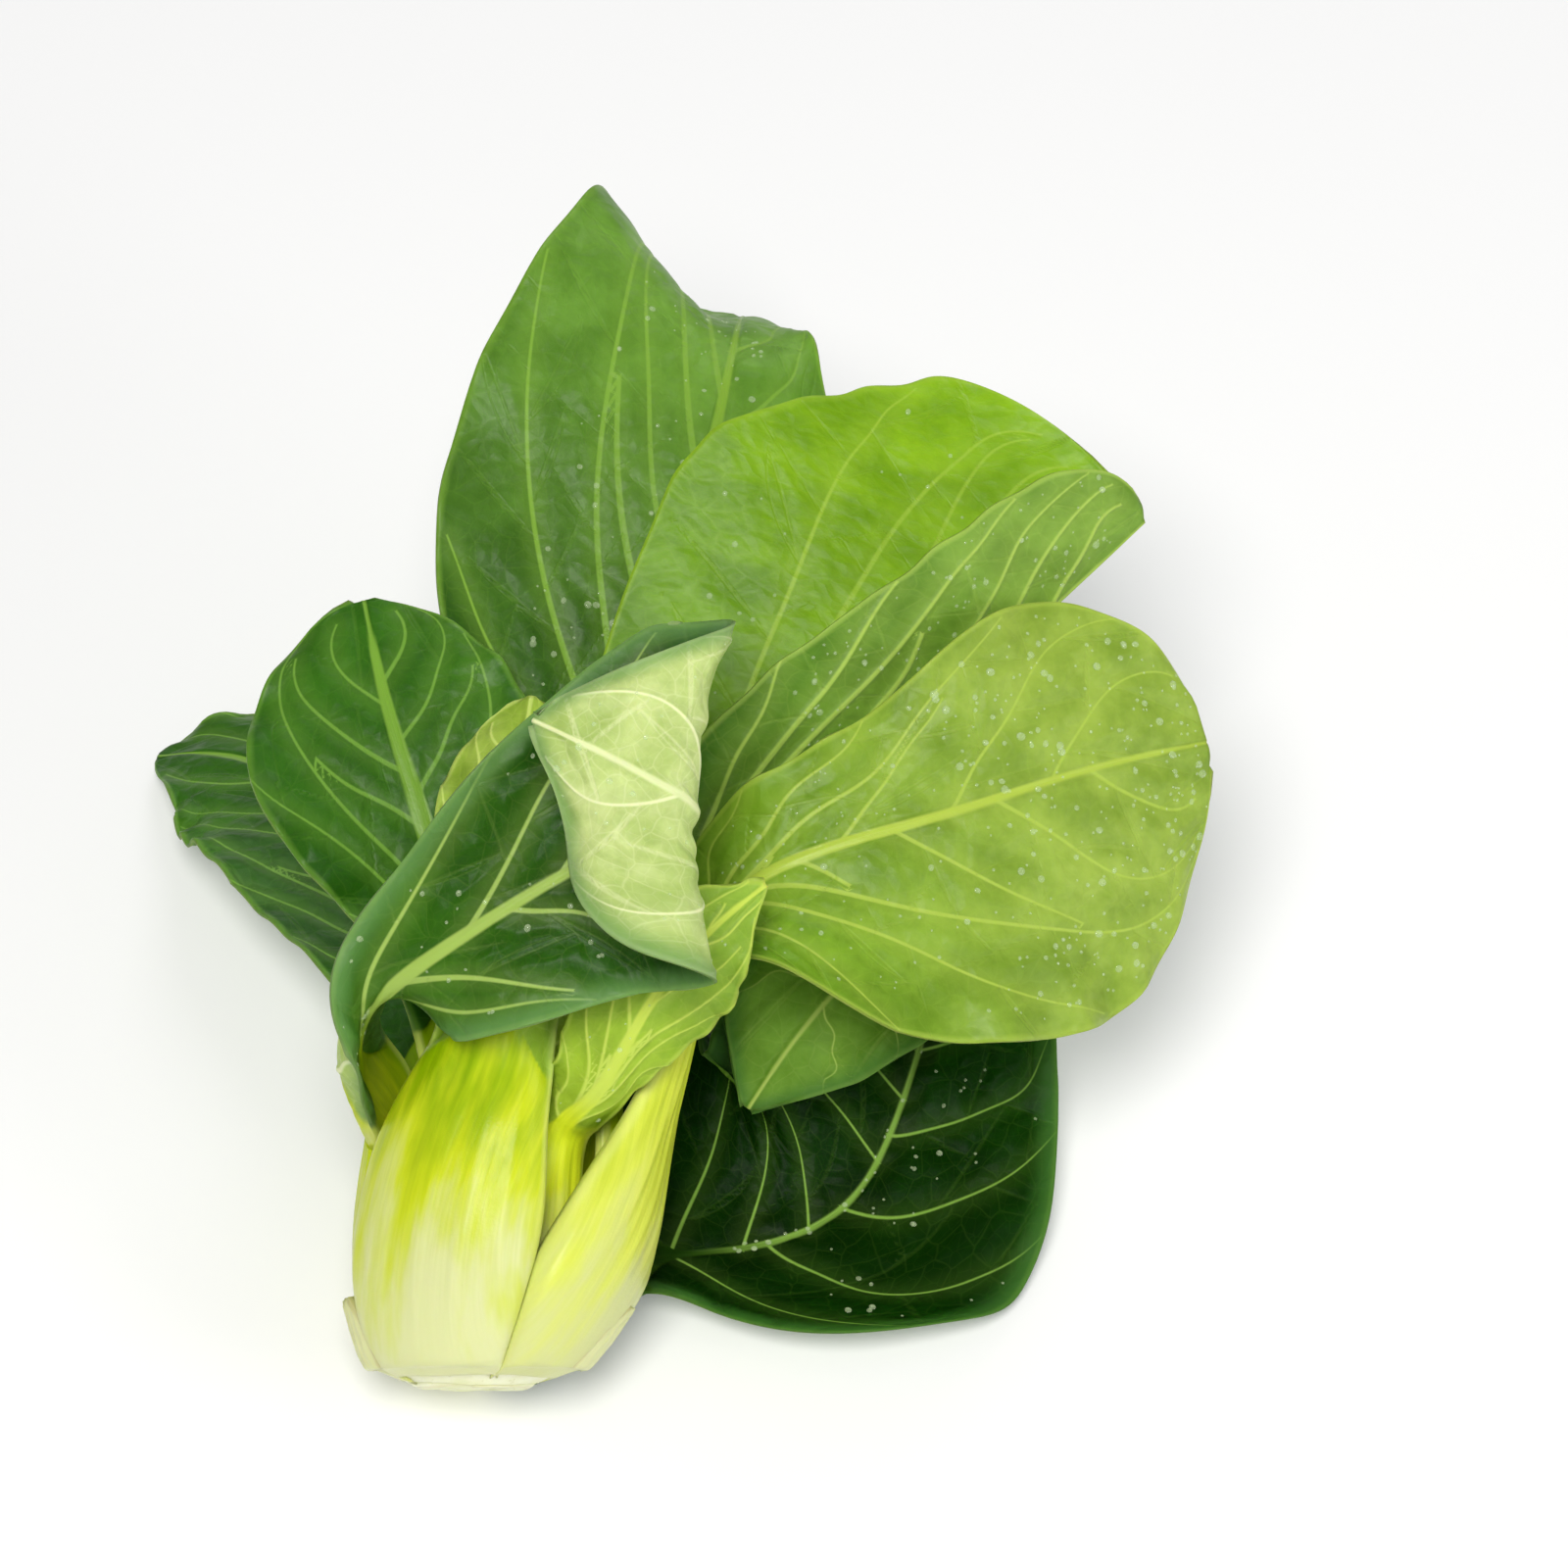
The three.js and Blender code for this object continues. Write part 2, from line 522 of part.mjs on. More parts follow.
function add(name, geometry, material) {
  const mesh = new THREE.Mesh(geometry, material);
  mesh.name = name;
  head.add(mesh);
}

add("butt", buttGeometry(), matte(BUTT_COLOUR, 0.6));
const stubRows = spread(STUB_ROWS, 0, LAST_ROW);
for (const spec of STUBS) add(spec.name, stalkGeometry(stubLeaf(spec), stubRows, STUB_ROWS), stalkMaterial);
for (const spec of LEAVES) {
  const stations = [...bulbStations(spec.bulb), ...spec.blade];
  const outermost = spec.bulb.ring === 0;
  const leaf = new Leaf({ thickness: OUTER_STALK_THICKNESS, fusing: outermost ? 1 : 0, ...spec, stations });
  const alongs = spread(spec.rowCount ?? LEAF_ROWS, 0, LAST_ROW);
  const ribEnd = alongs.findLastIndex((along) => along <= RIB_END);
  add(`${spec.name}_stalk`, stalkGeometry(leaf, alongs, ribEnd), stalkMaterial);
  const green = spec.young ? youngBladeMaterial : bladeMaterial;
  add(`${spec.name}_blade`, bladeGeometry(leaf, alongs, ribEnd), green);
}

// the origin is the middle of the head's footprint, on the floor
const extent = new THREE.Box3().setFromObject(head).getCenter(vector(0, 0, 0));
head.position.set(-extent.x, -extent.y, 0);

export default head;
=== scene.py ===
import math

import bpy
import numpy as np
from mathutils import Matrix, Vector, kdtree


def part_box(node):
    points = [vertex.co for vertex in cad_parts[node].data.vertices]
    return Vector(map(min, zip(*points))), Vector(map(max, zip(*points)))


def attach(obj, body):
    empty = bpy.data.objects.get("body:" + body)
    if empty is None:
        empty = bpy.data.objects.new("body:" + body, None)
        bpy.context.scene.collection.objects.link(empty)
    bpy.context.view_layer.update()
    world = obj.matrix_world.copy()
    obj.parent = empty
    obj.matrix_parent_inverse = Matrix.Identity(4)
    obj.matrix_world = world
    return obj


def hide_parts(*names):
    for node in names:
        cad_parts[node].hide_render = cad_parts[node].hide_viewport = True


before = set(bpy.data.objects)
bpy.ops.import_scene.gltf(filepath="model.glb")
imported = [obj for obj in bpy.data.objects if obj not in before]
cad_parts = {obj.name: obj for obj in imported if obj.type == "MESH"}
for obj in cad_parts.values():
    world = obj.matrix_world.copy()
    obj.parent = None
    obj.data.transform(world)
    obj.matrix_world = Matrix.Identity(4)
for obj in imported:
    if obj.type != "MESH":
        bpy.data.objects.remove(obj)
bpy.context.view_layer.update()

# ---- the head's frame: x right, y along the head from the butt to the tips, z out of its upper side ----
LEAN = 9  # degrees that the core leans to the right
RECLINE = 8  # degrees that the core leans away from z
TIP_BACK = 50  # degrees between z and the horizontal
FLOOR_DROP = 12  # mm from the middle of the cut face down to the floor
CUT_RADIUS = 13
BUTT_RADIUS = 14.2
BUTT_HEIGHT = 2.6
STALK_FOOT = 3.6
FOOT_REACH = 8.2  # from the core's axis; further out, the stalks' feet rise off the cut
FOOT_SLOPE = 0.4
FOOT_RISE = (0.4, 2.9)  # least and most
BULB_HEIGHTS = [1.6, 9, 18, 30, 43]
BULB_RADII = [6.8, 13.7, 17.4, 19.8, 19.6]  # to the inner faces of the outermost stalks
WHORL_STEP = 6  # from one ring of stalks in to the next
CORE_RADIUS = 2.4  # no stalk is nearer to the axis
CLASP = 1.06  # how much wider a stalk is than its share of the bulb
STALK_FLATNESS = 0.85
TRIM_SLOPE = 0.16  # the cut across the core, over the core's lean
TRIM_REACH = 30
FUSED_HEIGHT = 24  # below this the stalks' margins are as thick as their middles

# ---- leaves ----
MARGIN_THICKNESS = 0.55
OUTER_STALK_THICKNESS = 6.3
INNER_STALK_THICKNESS = 4.7
STALK_THINNING = 0.45
MIDRIB_THINNING = 0.82
MIDRIB_HALF_FOOT = 5.7
MIDRIB_HALF_TIP = 0.7
RIDGE_RISE = 0.45  # how far a midrib stands out of the upper face
QUILTING = 0.5  # how far the blade swells between its veins
UNDER_VEIN_RISE = 0.4
UPPER_VEIN_DIP = 0.12
RIB_FLUTING = 0.1  # ridges along the outside of a stalk
MARGIN_WAVE = 0.55
STEP = 0.004  # along and across a leaf, to find which way it faces

# ---- veins, in mm on the flat leaf ----
PRIMARY_WIDTH = 1.15
PRIMARY_APART = 0.9  # a main vein starts this far from the others
PRIMARY_MEETS = 1.4  # and ends this near to one, after its first points
FIRST_POINTS = 12
BRANCH_WIDTH = 0.4
BRANCH_STEP = 0.5
BRANCH_STEPS = 44
BRANCH_LEAVES = 8  # steps before it may meet the vein that it left
BRANCH_MEETS = 0.45
BRANCH_STRAY = 2.6  # how far from the blade's grid a branch may end
FAR = 9.0
NO_VEIN = [FAR, FAR, 0.1]

MM = 0.001
VEIN_SEED, BUTT_SEED, WATER_SEED, STUB_SEED = 7, 3, 5, 20


def unit(v):
    v = np.asarray(v, float)
    return v / np.linalg.norm(v, axis=-1, keepdims=True)


def smoothstep(x, low, high):
    t = np.clip((x - low) / (high - low), 0, 1)
    return t * t * (3 - 2 * t)


def rad(a):
    return np.radians(a)


CORE_AXIS = np.array([
    math.sin(rad(LEAN)) * math.cos(rad(RECLINE)),
    math.cos(rad(LEAN)) * math.cos(rad(RECLINE)),
    -math.sin(rad(RECLINE)),
])
CORE_RIGHT = unit(np.cross(CORE_AXIS, [0, 0, 1]))
CORE_FRONT = np.cross(CORE_RIGHT, CORE_AXIS)


def outward(azimuth):
    a = rad(np.asarray(azimuth, float))[..., None]
    return CORE_RIGHT * np.sin(a) + CORE_FRONT * np.cos(a)


def tipped(p):
    """Head frame to the world, in mm, before the floor stops anything."""
    c, s = math.cos(rad(TIP_BACK)), math.sin(rad(TIP_BACK))
    p = np.asarray(p, float)
    x, y, z = p[..., 0], p[..., 1], p[..., 2]
    return np.stack([x, y * s - z * c, y * c + z * s + FLOOR_DROP], -1)


def trimmed(p):
    """Squares the foot of the head to y, although the core leans."""
    p = np.asarray(p, float)
    fade = 1 - smoothstep(p @ CORE_AXIS, STALK_FOOT, TRIM_REACH)
    return p + CORE_AXIS * ((p @ CORE_RIGHT) * TRIM_SLOPE * fade)[..., None]


def butt_middle():
    """Middle of the plain butt's box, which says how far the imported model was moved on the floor."""
    turn = np.arange(48) * 2 * math.pi / 48
    ring = np.stack([np.sin(turn), np.cos(turn)], -1)
    rings = []
    profile = [(CUT_RADIUS, 0), (BUTT_RADIUS - 0.6, BUTT_HEIGHT * 0.55), (BUTT_RADIUS, BUTT_HEIGHT)]
    for radius, height in profile:
        rings.append(radius * (ring[:, :1] * CORE_RIGHT + ring[:, 1:] * CORE_FRONT) + height * CORE_AXIS)
    p = tipped(trimmed(np.concatenate(rings)))
    return (p.min(0) + p.max(0)) / 2


_low, _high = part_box("butt")
_middle = (np.array(_low) + np.array(_high)) / 2
SHIFT = np.array([_middle[0] - butt_middle()[0] * MM, _middle[1] - butt_middle()[1] * MM, 0.0])


def placed(p, least=0.0):
    """Head frame in mm to metres on the floor; what would sink into the floor lies flat on it."""
    q = tipped(p)
    q[..., 2] = np.maximum(q[..., 2] * smoothstep(q[..., 2], 0.1, 2.2), least)
    return q * MM + SHIFT


def station(at, face, half, bend=(0, 0, 0, 0), sweep=(0, 0)):
    """One row of a leaf: its middle, which way it faces, then left and right widths, bends and sweeps."""
    return [*at, *face, *half, *bend, *sweep]


def bulb_stations(azimuth, ring, plus, minus, roll=3, out=0.0, flatness=STALK_FLATNESS):
    """A stalk's rows round the bulb; ring 0 is outermost, plus and minus its reach each way in degrees."""
    rows = []
    for k, height in enumerate(BULB_HEIGHTS):
        turn = azimuth[k] if isinstance(azimuth, (list, tuple)) else azimuth
        radius = max(BULB_RADII[k] - ring * WHORL_STEP, CORE_RADIUS) + out
        at = CORE_AXIS * height + outward(turn) * radius
        half = [rad(reach) * radius * CLASP for reach in (plus[k], minus[k])]
        bow = flatness + (1 - flatness) * max(0, 1 - height / FUSED_HEIGHT)
        rows.append(station(at, -outward(turn + roll), half, (0, 0, plus[k] * bow, minus[k] * bow)))
    return rows


def spline(rows, t):
    rows = np.asarray(rows, float)
    last = len(rows) - 1
    padded = np.concatenate([[2 * rows[0] - rows[1]], rows, [2 * rows[-1] - rows[-2]]])
    place = np.clip(t, 0, 1) * last
    i = np.minimum(np.floor(place).astype(int), last - 1)
    f = (place - i)[..., None]
    return (
        (1 - f) ** 3 / 6 * padded[i]
        + (3 * f**3 - 6 * f**2 + 4) / 6 * padded[i + 1]
        + (-3 * f**3 + 3 * f**2 + 3 * f + 1) / 6 * padded[i + 2]
        + f**3 / 6 * padded[i + 3]
    )


def waves(x, rng, low, high, count=5):
    """A smooth wander between about -1 and 1."""
    total = np.zeros_like(np.asarray(x, float))
    for _ in range(count):
        total = total + np.sin(2 * math.pi * rng.uniform(low, high) * x + rng.uniform(0, 6.3))
    return total / count**0.5


class Leaf:
    """A leaf as a surface: along (0 foot, 1 tip) and across (-1 left margin, 1 right margin)."""

    def __init__(self, stations, stalk_end, blade_start, tip, tip_power=2.0, ruffle=(1.5, 4, 0),
                 thickness=OUTER_STALK_THICKNESS, seed=0):
        self.rows, self.stalk_end, self.blade_start = stations, stalk_end, blade_start
        self.tip, self.tip_power, self.ruffle, self.thickness = tip, tip_power, ruffle, thickness
        self.seed = seed
        self.t = np.linspace(0, 1, 801)
        middle = spline(self.rows, self.t)[:, :3]
        self.lengths = np.concatenate([[0], np.cumsum(np.linalg.norm(np.diff(middle, axis=0), axis=1))])
        self.length = self.lengths[-1]

    def section(self, along):
        along = np.asarray(along, float)
        t = np.interp(np.clip(along, 0, 1) * self.length, self.lengths, self.t)
        row = spline(self.rows, t)
        tangent = unit(spline(self.rows, np.minimum(t + 1e-3, 1))[..., :3]
                       - spline(self.rows, np.maximum(t - 1e-3, 0))[..., :3])
        face = row[..., 3:6]
        face = unit(face - (face * tangent).sum(-1, keepdims=True) * tangent)
        towards_tip = np.clip((along - self.tip) / (1 - self.tip), 0, 1)
        rounding = (1 - towards_tip**self.tip_power) ** (1 / self.tip_power)
        up = np.clip((along - self.blade_start) / (1 - self.blade_start), 0, 1)
        narrowing = smoothstep(along, self.stalk_end, self.blade_start)
        midrib = (MIDRIB_HALF_FOOT - MIDRIB_HALF_TIP) * (1 - up) ** 1.3 + MIDRIB_HALF_TIP
        half = row[..., 6:8] * rounding[..., None]
        rib = half * (1 - narrowing[..., None]) + (midrib * narrowing)[..., None]
        return dict(middle=row[..., :3], tangent=tangent, face=face, side=np.cross(tangent, face),
                    up=up, half=half, rib=np.minimum(rib, half), lift=rad(row[..., 8:10]),
                    curl=rad(row[..., 10:12]), sweep=rad(row[..., 12:14]), narrowing=narrowing)

    def half_of(self, section, name, across):
        return np.where(across < 0, section[name][..., 0], section[name][..., 1])

    def upper(self, along, across):
        s = self.section(along)
        pick = lambda name: self.half_of(s, name, across)
        half, lift, curl, sweep = pick("half"), pick("lift"), pick("curl"), pick("sweep")
        reach = np.abs(across)
        turn = curl - lift
        end = lift + turn * reach
        flat = np.abs(turn) < 1e-6
        safe = np.where(flat, 1, turn)
        outwards = np.where(flat, reach * np.cos(lift), (np.sin(end) - np.sin(lift)) / safe)
        upwards = np.where(flat, reach * np.sin(lift), (np.cos(lift) - np.cos(end)) / safe)
        amplitude, count, phase = self.ruffle
        right = (across >= 0).astype(float)
        wave = np.sin(2 * math.pi * count * along + phase + right * 2.1)
        lifted = upwards * half + amplitude * reach**2 * np.sqrt(np.sin(math.pi * s["up"]).clip(0)) * wave
        rng = np.random.default_rng(self.seed)
        small = waves(along + 0.31 * right, rng, 9, 16, 3)
        lifted = lifted + MARGIN_WAVE * reach**5 * smoothstep(s["up"], 0.02, 0.3) * small * amplitude
        sign = np.where(across < 0, -1, 1)
        return (s["middle"]
                + s["side"] * (sign * outwards * half * np.cos(sweep))[..., None]
                + s["tangent"] * (outwards * half * np.sin(sweep))[..., None]
                + s["face"] * lifted[..., None])

    def flat(self, along, across):
        """The same place on the leaf laid flat, in mm: along the midrib, then across it."""
        s = self.section(along)
        half, sweep = self.half_of(s, "half", across), self.half_of(s, "sweep", across)
        return np.stack([along * self.length + np.abs(across) * half * np.sin(sweep),
                         across * half * np.cos(sweep)], -1)

    def down(self, along, across):
        ahead = self.upper(along + STEP, across) - self.upper(np.maximum(along - STEP, 0), across)
        sign = np.where(across < 0, -1, 1)
        beside = (self.upper(along, across + sign * STEP) - self.upper(along, across)) * sign[..., None]
        normal = unit(np.cross(ahead, beside))
        facing = (normal * self.section(along)["face"]).sum(-1, keepdims=True)
        return np.where(facing > 0, -normal, normal)

    def depth(self, along, across):
        s = self.section(along)
        beside = np.abs(across) * self.half_of(s, "half", across)
        rib = np.maximum(self.half_of(s, "rib", across), 0.3)
        u = np.clip(beside / rib, 0, 1)
        low = 1 - smoothstep(along * self.length, FUSED_HEIGHT * 0.5, FUSED_HEIGHT * 1.3)
        power = 3.4 + 9 * low if self.thickness == OUTER_STALK_THICKNESS else 3.4
        stalk_ridge = (1 - u**power) ** 0.7
        wide = np.clip(beside / (rib * 1.25), 0, 1)
        midrib_ridge = (1 - wide**2) ** 1.6
        ridge = stalk_ridge * (1 - s["narrowing"]) + midrib_ridge * s["narrowing"]
        thinning = 1 - STALK_THINNING * smoothstep(along, 0, self.blade_start)
        thinning = thinning * (1 - MIDRIB_THINNING * s["up"] ** 0.8)
        margin = MARGIN_THICKNESS + 0.5 * (1 - s["narrowing"])
        return margin + np.maximum(self.thickness * thinning - margin, 0.2) * ridge


def beside_line(p):
    """Unit vectors to one side of a flat line, at each of its points."""
    return unit(np.stack([-np.gradient(p[:, 1]), np.gradient(p[:, 0])], -1))


def resampled(points, widths, spacing=0.4):
    run = np.concatenate([[0], np.cumsum(np.linalg.norm(np.diff(points, axis=0), axis=1))])
    at = np.linspace(0, run[-1], max(int(run[-1] / spacing), 2))
    return (np.stack([np.interp(at, run, points[:, k]) for k in (0, 1)], -1), np.interp(at, run, widths))


def main_veins(leaf, rng, count, basal=3, lean=1.0, bow=0.3, splay=(0.45, 2.0), thick=1.0):
    """The veins of the flat leaf, each as its points and its widths.

    Basal ones fan out from the foot of the blade and the others leave the midrib further up; lean and
    splay say how far forward they run for each millimetre sideways."""
    veins = []
    for k, sign in enumerate((-1, 1)):
        places = (np.arange(count) + 0.45 * k + rng.uniform(-0.14, 0.14, count) + 0.5) / (count + 0.6)
        starts = [(leaf.blade_start - 0.02 + 3.5 * j / leaf.length, slope)
                  for j, slope in enumerate(np.linspace(*splay, basal))]
        starts += [(leaf.blade_start + (0.93 - leaf.blade_start) * share, lean) for share in places]
        for a, slope in starts:
            half = leaf.section(np.linspace(a, min(a + 0.3, 0.9), 12))["half"][:, k].max()
            up = leaf.section(np.array([a]))["up"][0]
            r = np.linspace(0, 0.97, 90)
            slope = slope * rng.uniform(0.88, 1.12)
            along = a + half / leaf.length * (slope * r + bow * r**2.3)
            keep = along < 0.975
            r, along = r[keep], along[keep]
            p = leaf.flat(along, sign * r)
            wander = waves(r, rng, 0.8, 2.8, 3) * 0.6 * np.sqrt(r)
            p = p + beside_line(p) * wander[:, None]
            width = thick * PRIMARY_WIDTH * (1 - 0.55 * up) * (1 - 0.8 * r**0.8) * rng.uniform(0.8, 1.15)
            p, width = resampled(p, width)
            for other, _ in veins:
                gaps = np.linalg.norm(p[:, None] - other[None], axis=-1).min(1)
                apart = np.flatnonzero(gaps > PRIMARY_APART)
                first = apart[0] if len(apart) else len(p) - 2
                close = np.flatnonzero(gaps[first + FIRST_POINTS:] < PRIMARY_MEETS)
                last = first + FIRST_POINTS + close[0] if len(close) else len(p)
                p, width = p[first:last], width[first:last]
            veins.append((p, width))
    return veins


def branch_veins(leaf, rng, parents):
    """Veins that leave the main ones and stop where they meet another."""
    alongs = np.linspace(leaf.blade_start * 0.9, 0.99, 60)
    grid_a, grid_x = np.meshgrid(alongs, np.linspace(-0.97, 0.97, 50), indexing="ij")
    inside = leaf.flat(grid_a.ravel(), grid_x.ravel())
    tips, headings, owners, sides = [], [], [], []
    for number, (points, _) in enumerate(parents):
        steps = len(points)
        place = 12 + rng.integers(0, 6)
        turn = 1
        while place < steps - 6:
            heading = unit(points[min(place + 2, steps - 1)] - points[place - 2])
            swing = turn * rad(rng.uniform(38, 56))
            c, s = math.cos(swing), math.sin(swing)
            tips.append(points[place])
            headings.append([c * heading[0] - s * heading[1], s * heading[0] + c * heading[1]])
            owners.append(number)
            sides.append(-turn)
            turn = -turn
            place += rng.integers(14, 26)
    tips, headings = np.array(tips), np.array(headings)
    owners, sides = np.array(owners), np.array(sides)
    points = np.concatenate([p for p, _ in parents])
    belongs = np.concatenate([np.full(len(p), n) for n, (p, _) in enumerate(parents)])
    trails = [[tip] for tip in tips]
    growing = np.ones(len(tips), bool)
    own = len(parents) + np.arange(len(tips))
    bends = sides * rad(rng.uniform(-0.5, 1.1, len(tips)))
    for step in range(BRANCH_STEPS):
        live = np.flatnonzero(growing)
        if not len(live):
            break
        c, s = np.cos(bends[live]), np.sin(bends[live])
        h = headings[live]
        h = np.stack([c * h[:, 0] - s * h[:, 1], s * h[:, 0] + c * h[:, 1]], -1)
        headings[live] = h
        tips[live] += BRANCH_STEP * h
        gaps = np.linalg.norm(tips[live][:, None] - points[None], axis=-1)
        gaps[belongs[None] == own[live][:, None]] = FAR
        if step < BRANCH_LEAVES:
            gaps[belongs[None] == owners[live][:, None]] = FAR
        met = gaps.min(1) < BRANCH_MEETS
        away = np.array([np.min(np.abs(inside - tip).sum(1)) for tip in tips[live]]) > BRANCH_STRAY
        for n in live:
            trails[n].append(tips[n].copy())
        points = np.concatenate([points, tips[live]])
        belongs = np.concatenate([belongs, own[live]])
        growing[live[met | away]] = False
    veins = []
    for trail in trails:
        p = np.array(trail)
        if len(p) > 5:
            veins.append(resampled(p, BRANCH_WIDTH * np.linspace(1, 0.2, len(p))))
    return veins


def nearest(veins, places):
    """For each place, by the nearest vein: how far to one side of it, how far away, and its width."""
    points = np.concatenate([p for p, _ in veins])
    widths = np.concatenate([w for _, w in veins])
    across = np.concatenate([beside_line(p) for p, _ in veins])
    tree = kdtree.KDTree(len(points))
    for k, (x, y) in enumerate(points.tolist()):
        tree.insert((x, y, 0), k)
    tree.balance()
    found = [tree.find((x, y, 0))[1:] for x, y in places.tolist()]
    index = np.array([f[0] for f in found])
    far = np.array([f[1] for f in found])
    return np.stack([((places - points[index]) * across[index]).sum(-1), far, widths[index]], -1)


# ---- meshes ----
def sheet_quads(rows, cols):
    """Quads of a closed sheet whose upper points come first, then the lower ones."""
    k = np.arange(rows * cols).reshape(rows, cols)
    n = rows * cols
    top = np.stack([k[:-1, :-1], k[:-1, 1:], k[1:, 1:], k[1:, :-1]], -1).reshape(-1, 4)
    rim = np.concatenate([k[0, :], k[1:, -1], k[-1, -2::-1], k[-2:0:-1, 0]])
    ahead = np.roll(rim, -1)
    wall = np.stack([ahead, rim, rim + n, ahead + n], -1)
    return np.concatenate([top, top[:, ::-1] + n, wall])


def new_piece(name, points, quads, finish, nodes, attributes=None):
    mesh = bpy.data.meshes.new(name)
    mesh.from_pydata(points, [], quads)
    mesh.polygons.foreach_set("use_smooth", [True] * len(mesh.polygons))
    for label, values in (attributes or {}).items():
        values = np.asarray(values, np.float32)
        if values.ndim == 2:
            layer = mesh.attributes.new(label, "FLOAT_VECTOR", "POINT")
            layer.data.foreach_set("vector", values.ravel())
        else:
            layer = mesh.attributes.new(label, "FLOAT", "POINT")
            layer.data.foreach_set("value", values)
    mesh.materials.append(finish)
    mesh.update()
    piece = bpy.data.objects.new(name, mesh)
    bpy.context.collection.objects.link(piece)
    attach(piece, "root")
    if nodes:
        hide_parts(*nodes)
    return piece


def leaf_piece(name, leaf, finish, slot, fine=0.55, veins=None, quilting=QUILTING, rib=1.0,
               nodes=None, keep=None):
    """Builds one leaf; veins holds its layout for main_veins, and rib is how much of the midrib shows."""
    rng = np.random.default_rng(VEIN_SEED + leaf.seed)
    s = leaf.section(np.linspace(0, 1, 60))
    widest = (s["half"][:, 0] + s["half"][:, 1]).max()
    stalk_cells = int(leaf.stalk_end * leaf.length / (fine * 2))
    stalk_rows = np.linspace(0, leaf.stalk_end, stalk_cells, endpoint=False)
    blade_rows = np.linspace(leaf.stalk_end, 0.9985, int((1 - leaf.stalk_end) * leaf.length / fine))
    along = np.concatenate([stalk_rows, blade_rows])
    cells = int(widest / fine / 2)
    across = np.linspace(-1, 1, 2 * cells + 1)
    A, X = np.meshgrid(along, across, indexing="ij")
    s = leaf.section(A)
    half, wing = leaf.half_of(s, "half", X), leaf.half_of(s, "rib", X)
    beside = np.abs(X) * half
    flat = leaf.flat(A, X)
    seen_rib = wing * (1 - s["narrowing"] * (1 - 0.38 * rib))
    blade = smoothstep(beside, seen_rib - 0.3, seen_rib + 0.9) * smoothstep(half - wing, 0.1, 1.5)
    ends = smoothstep(A, 0.9, 0.97)
    blade = np.maximum(blade, ends * smoothstep(beside, -0.1, 0.7))

    places = flat.reshape(-1, 2)
    if veins:
        main = main_veins(leaf, rng, **veins)
        lines, twigs = nearest(main, places), nearest(branch_veins(leaf, rng, main), places)
    else:
        lines = twigs = np.tile(NO_VEIN, (len(places), 1))
    vein = smoothstep(lines[:, 1], lines[:, 2] / 2 + 0.5, lines[:, 2] / 2 - 0.2).reshape(A.shape) * blade
    swell = (1 - np.exp(-(np.minimum(lines[:, 1], twigs[:, 1] * 1.5) / 3.2) ** 2)).reshape(A.shape)
    swell = swell * blade * smoothstep(np.abs(X), 1.0, 0.8)

    top = leaf.upper(A, X)
    down = leaf.down(A, X)
    depth = leaf.depth(A, X)
    flutes = np.sin(X * 16 + 1.5 * waves(A, rng, 1, 3, 3))
    flutes = flutes + 0.6 * np.sin(X * 37 + 2 * waves(A, rng, 2, 5, 3))
    flutes = flutes * RIB_FLUTING * (1 - s["narrowing"]) * smoothstep(np.abs(X), 1, 0.8)
    flutes = flutes * smoothstep(A, 0.02, 0.2)
    ridge = np.clip(1 - (beside / np.maximum(seen_rib * 1.5, 0.6)) ** 2, 0, 1)
    ridge = RIDGE_RISE * s["narrowing"] * ridge * (1 - 0.5 * s["up"])
    raised = quilting * swell + ridge - UPPER_VEIN_DIP * vein
    under = depth + flutes - quilting * swell + UNDER_VEIN_RISE * vein
    upper = top - down * raised[..., None]
    lower = top + down * under[..., None]
    points = []
    for sheet, least in ((upper, MARGIN_THICKNESS), (lower, 0.0)):
        height = (sheet @ CORE_AXIS)[..., None]
        out = np.linalg.norm(sheet - CORE_AXIS * height, axis=-1, keepdims=True)
        foot = np.clip((out - FOOT_REACH) * FOOT_SLOPE, *FOOT_RISE)
        sheet = sheet + CORE_AXIS * np.clip(foot - height, 0, None)
        points.append(placed(trimmed(sheet), least).reshape(-1, 3))
    both = lambda value: np.concatenate([value.ravel(), value.ravel()])
    count = A.size
    flat3 = np.concatenate([flat.reshape(-1, 2) / 100, np.zeros((count, 1))], -1)
    rise = (top @ CORE_AXIS) / 60
    attributes = {
        "blade": both(blade),
        "lines": np.concatenate([lines, lines]),
        "twigs": np.concatenate([twigs, twigs]),
        "under": np.concatenate([np.zeros(count), np.ones(count)]),
        "rise": both(rise.clip(0, 2)),
        "up": both(s["up"]),
        "margin": both(smoothstep(half - beside, 1.2, 0.3)),
        # the band along the margin that takes the painted sheen of a rolled margin
        "rolled_sheen": both(smoothstep(half - beside, 5.0, 0.4)),
        "flat": np.concatenate([flat3, flat3 + np.array([0.37, 0.19, 0])]),
    }
    if keep is not None:
        keep[name] = dict(along=A, across=X, upper=upper, lower=lower, down=down)
    nodes = nodes or [f"{name}_stalk", f"{name}_blade"]
    quads = sheet_quads(*A.shape)
    return new_piece(f"{name}_leaf", np.concatenate(points), quads, finish, nodes, attributes)


# ---- finishes ----
def colour(code):
    """A hex colour as the linear values that a shader takes."""
    out = []
    for k in (0, 2, 4):
        v = int(code[k:k + 2], 16) / 255
        out.append(v / 12.92 if v <= 0.04045 else ((v + 0.055) / 1.055) ** 2.4)
    return (*out, 1)


def dial(sockets, values):
    for label, value in values.items():
        sockets[label].default_value = value


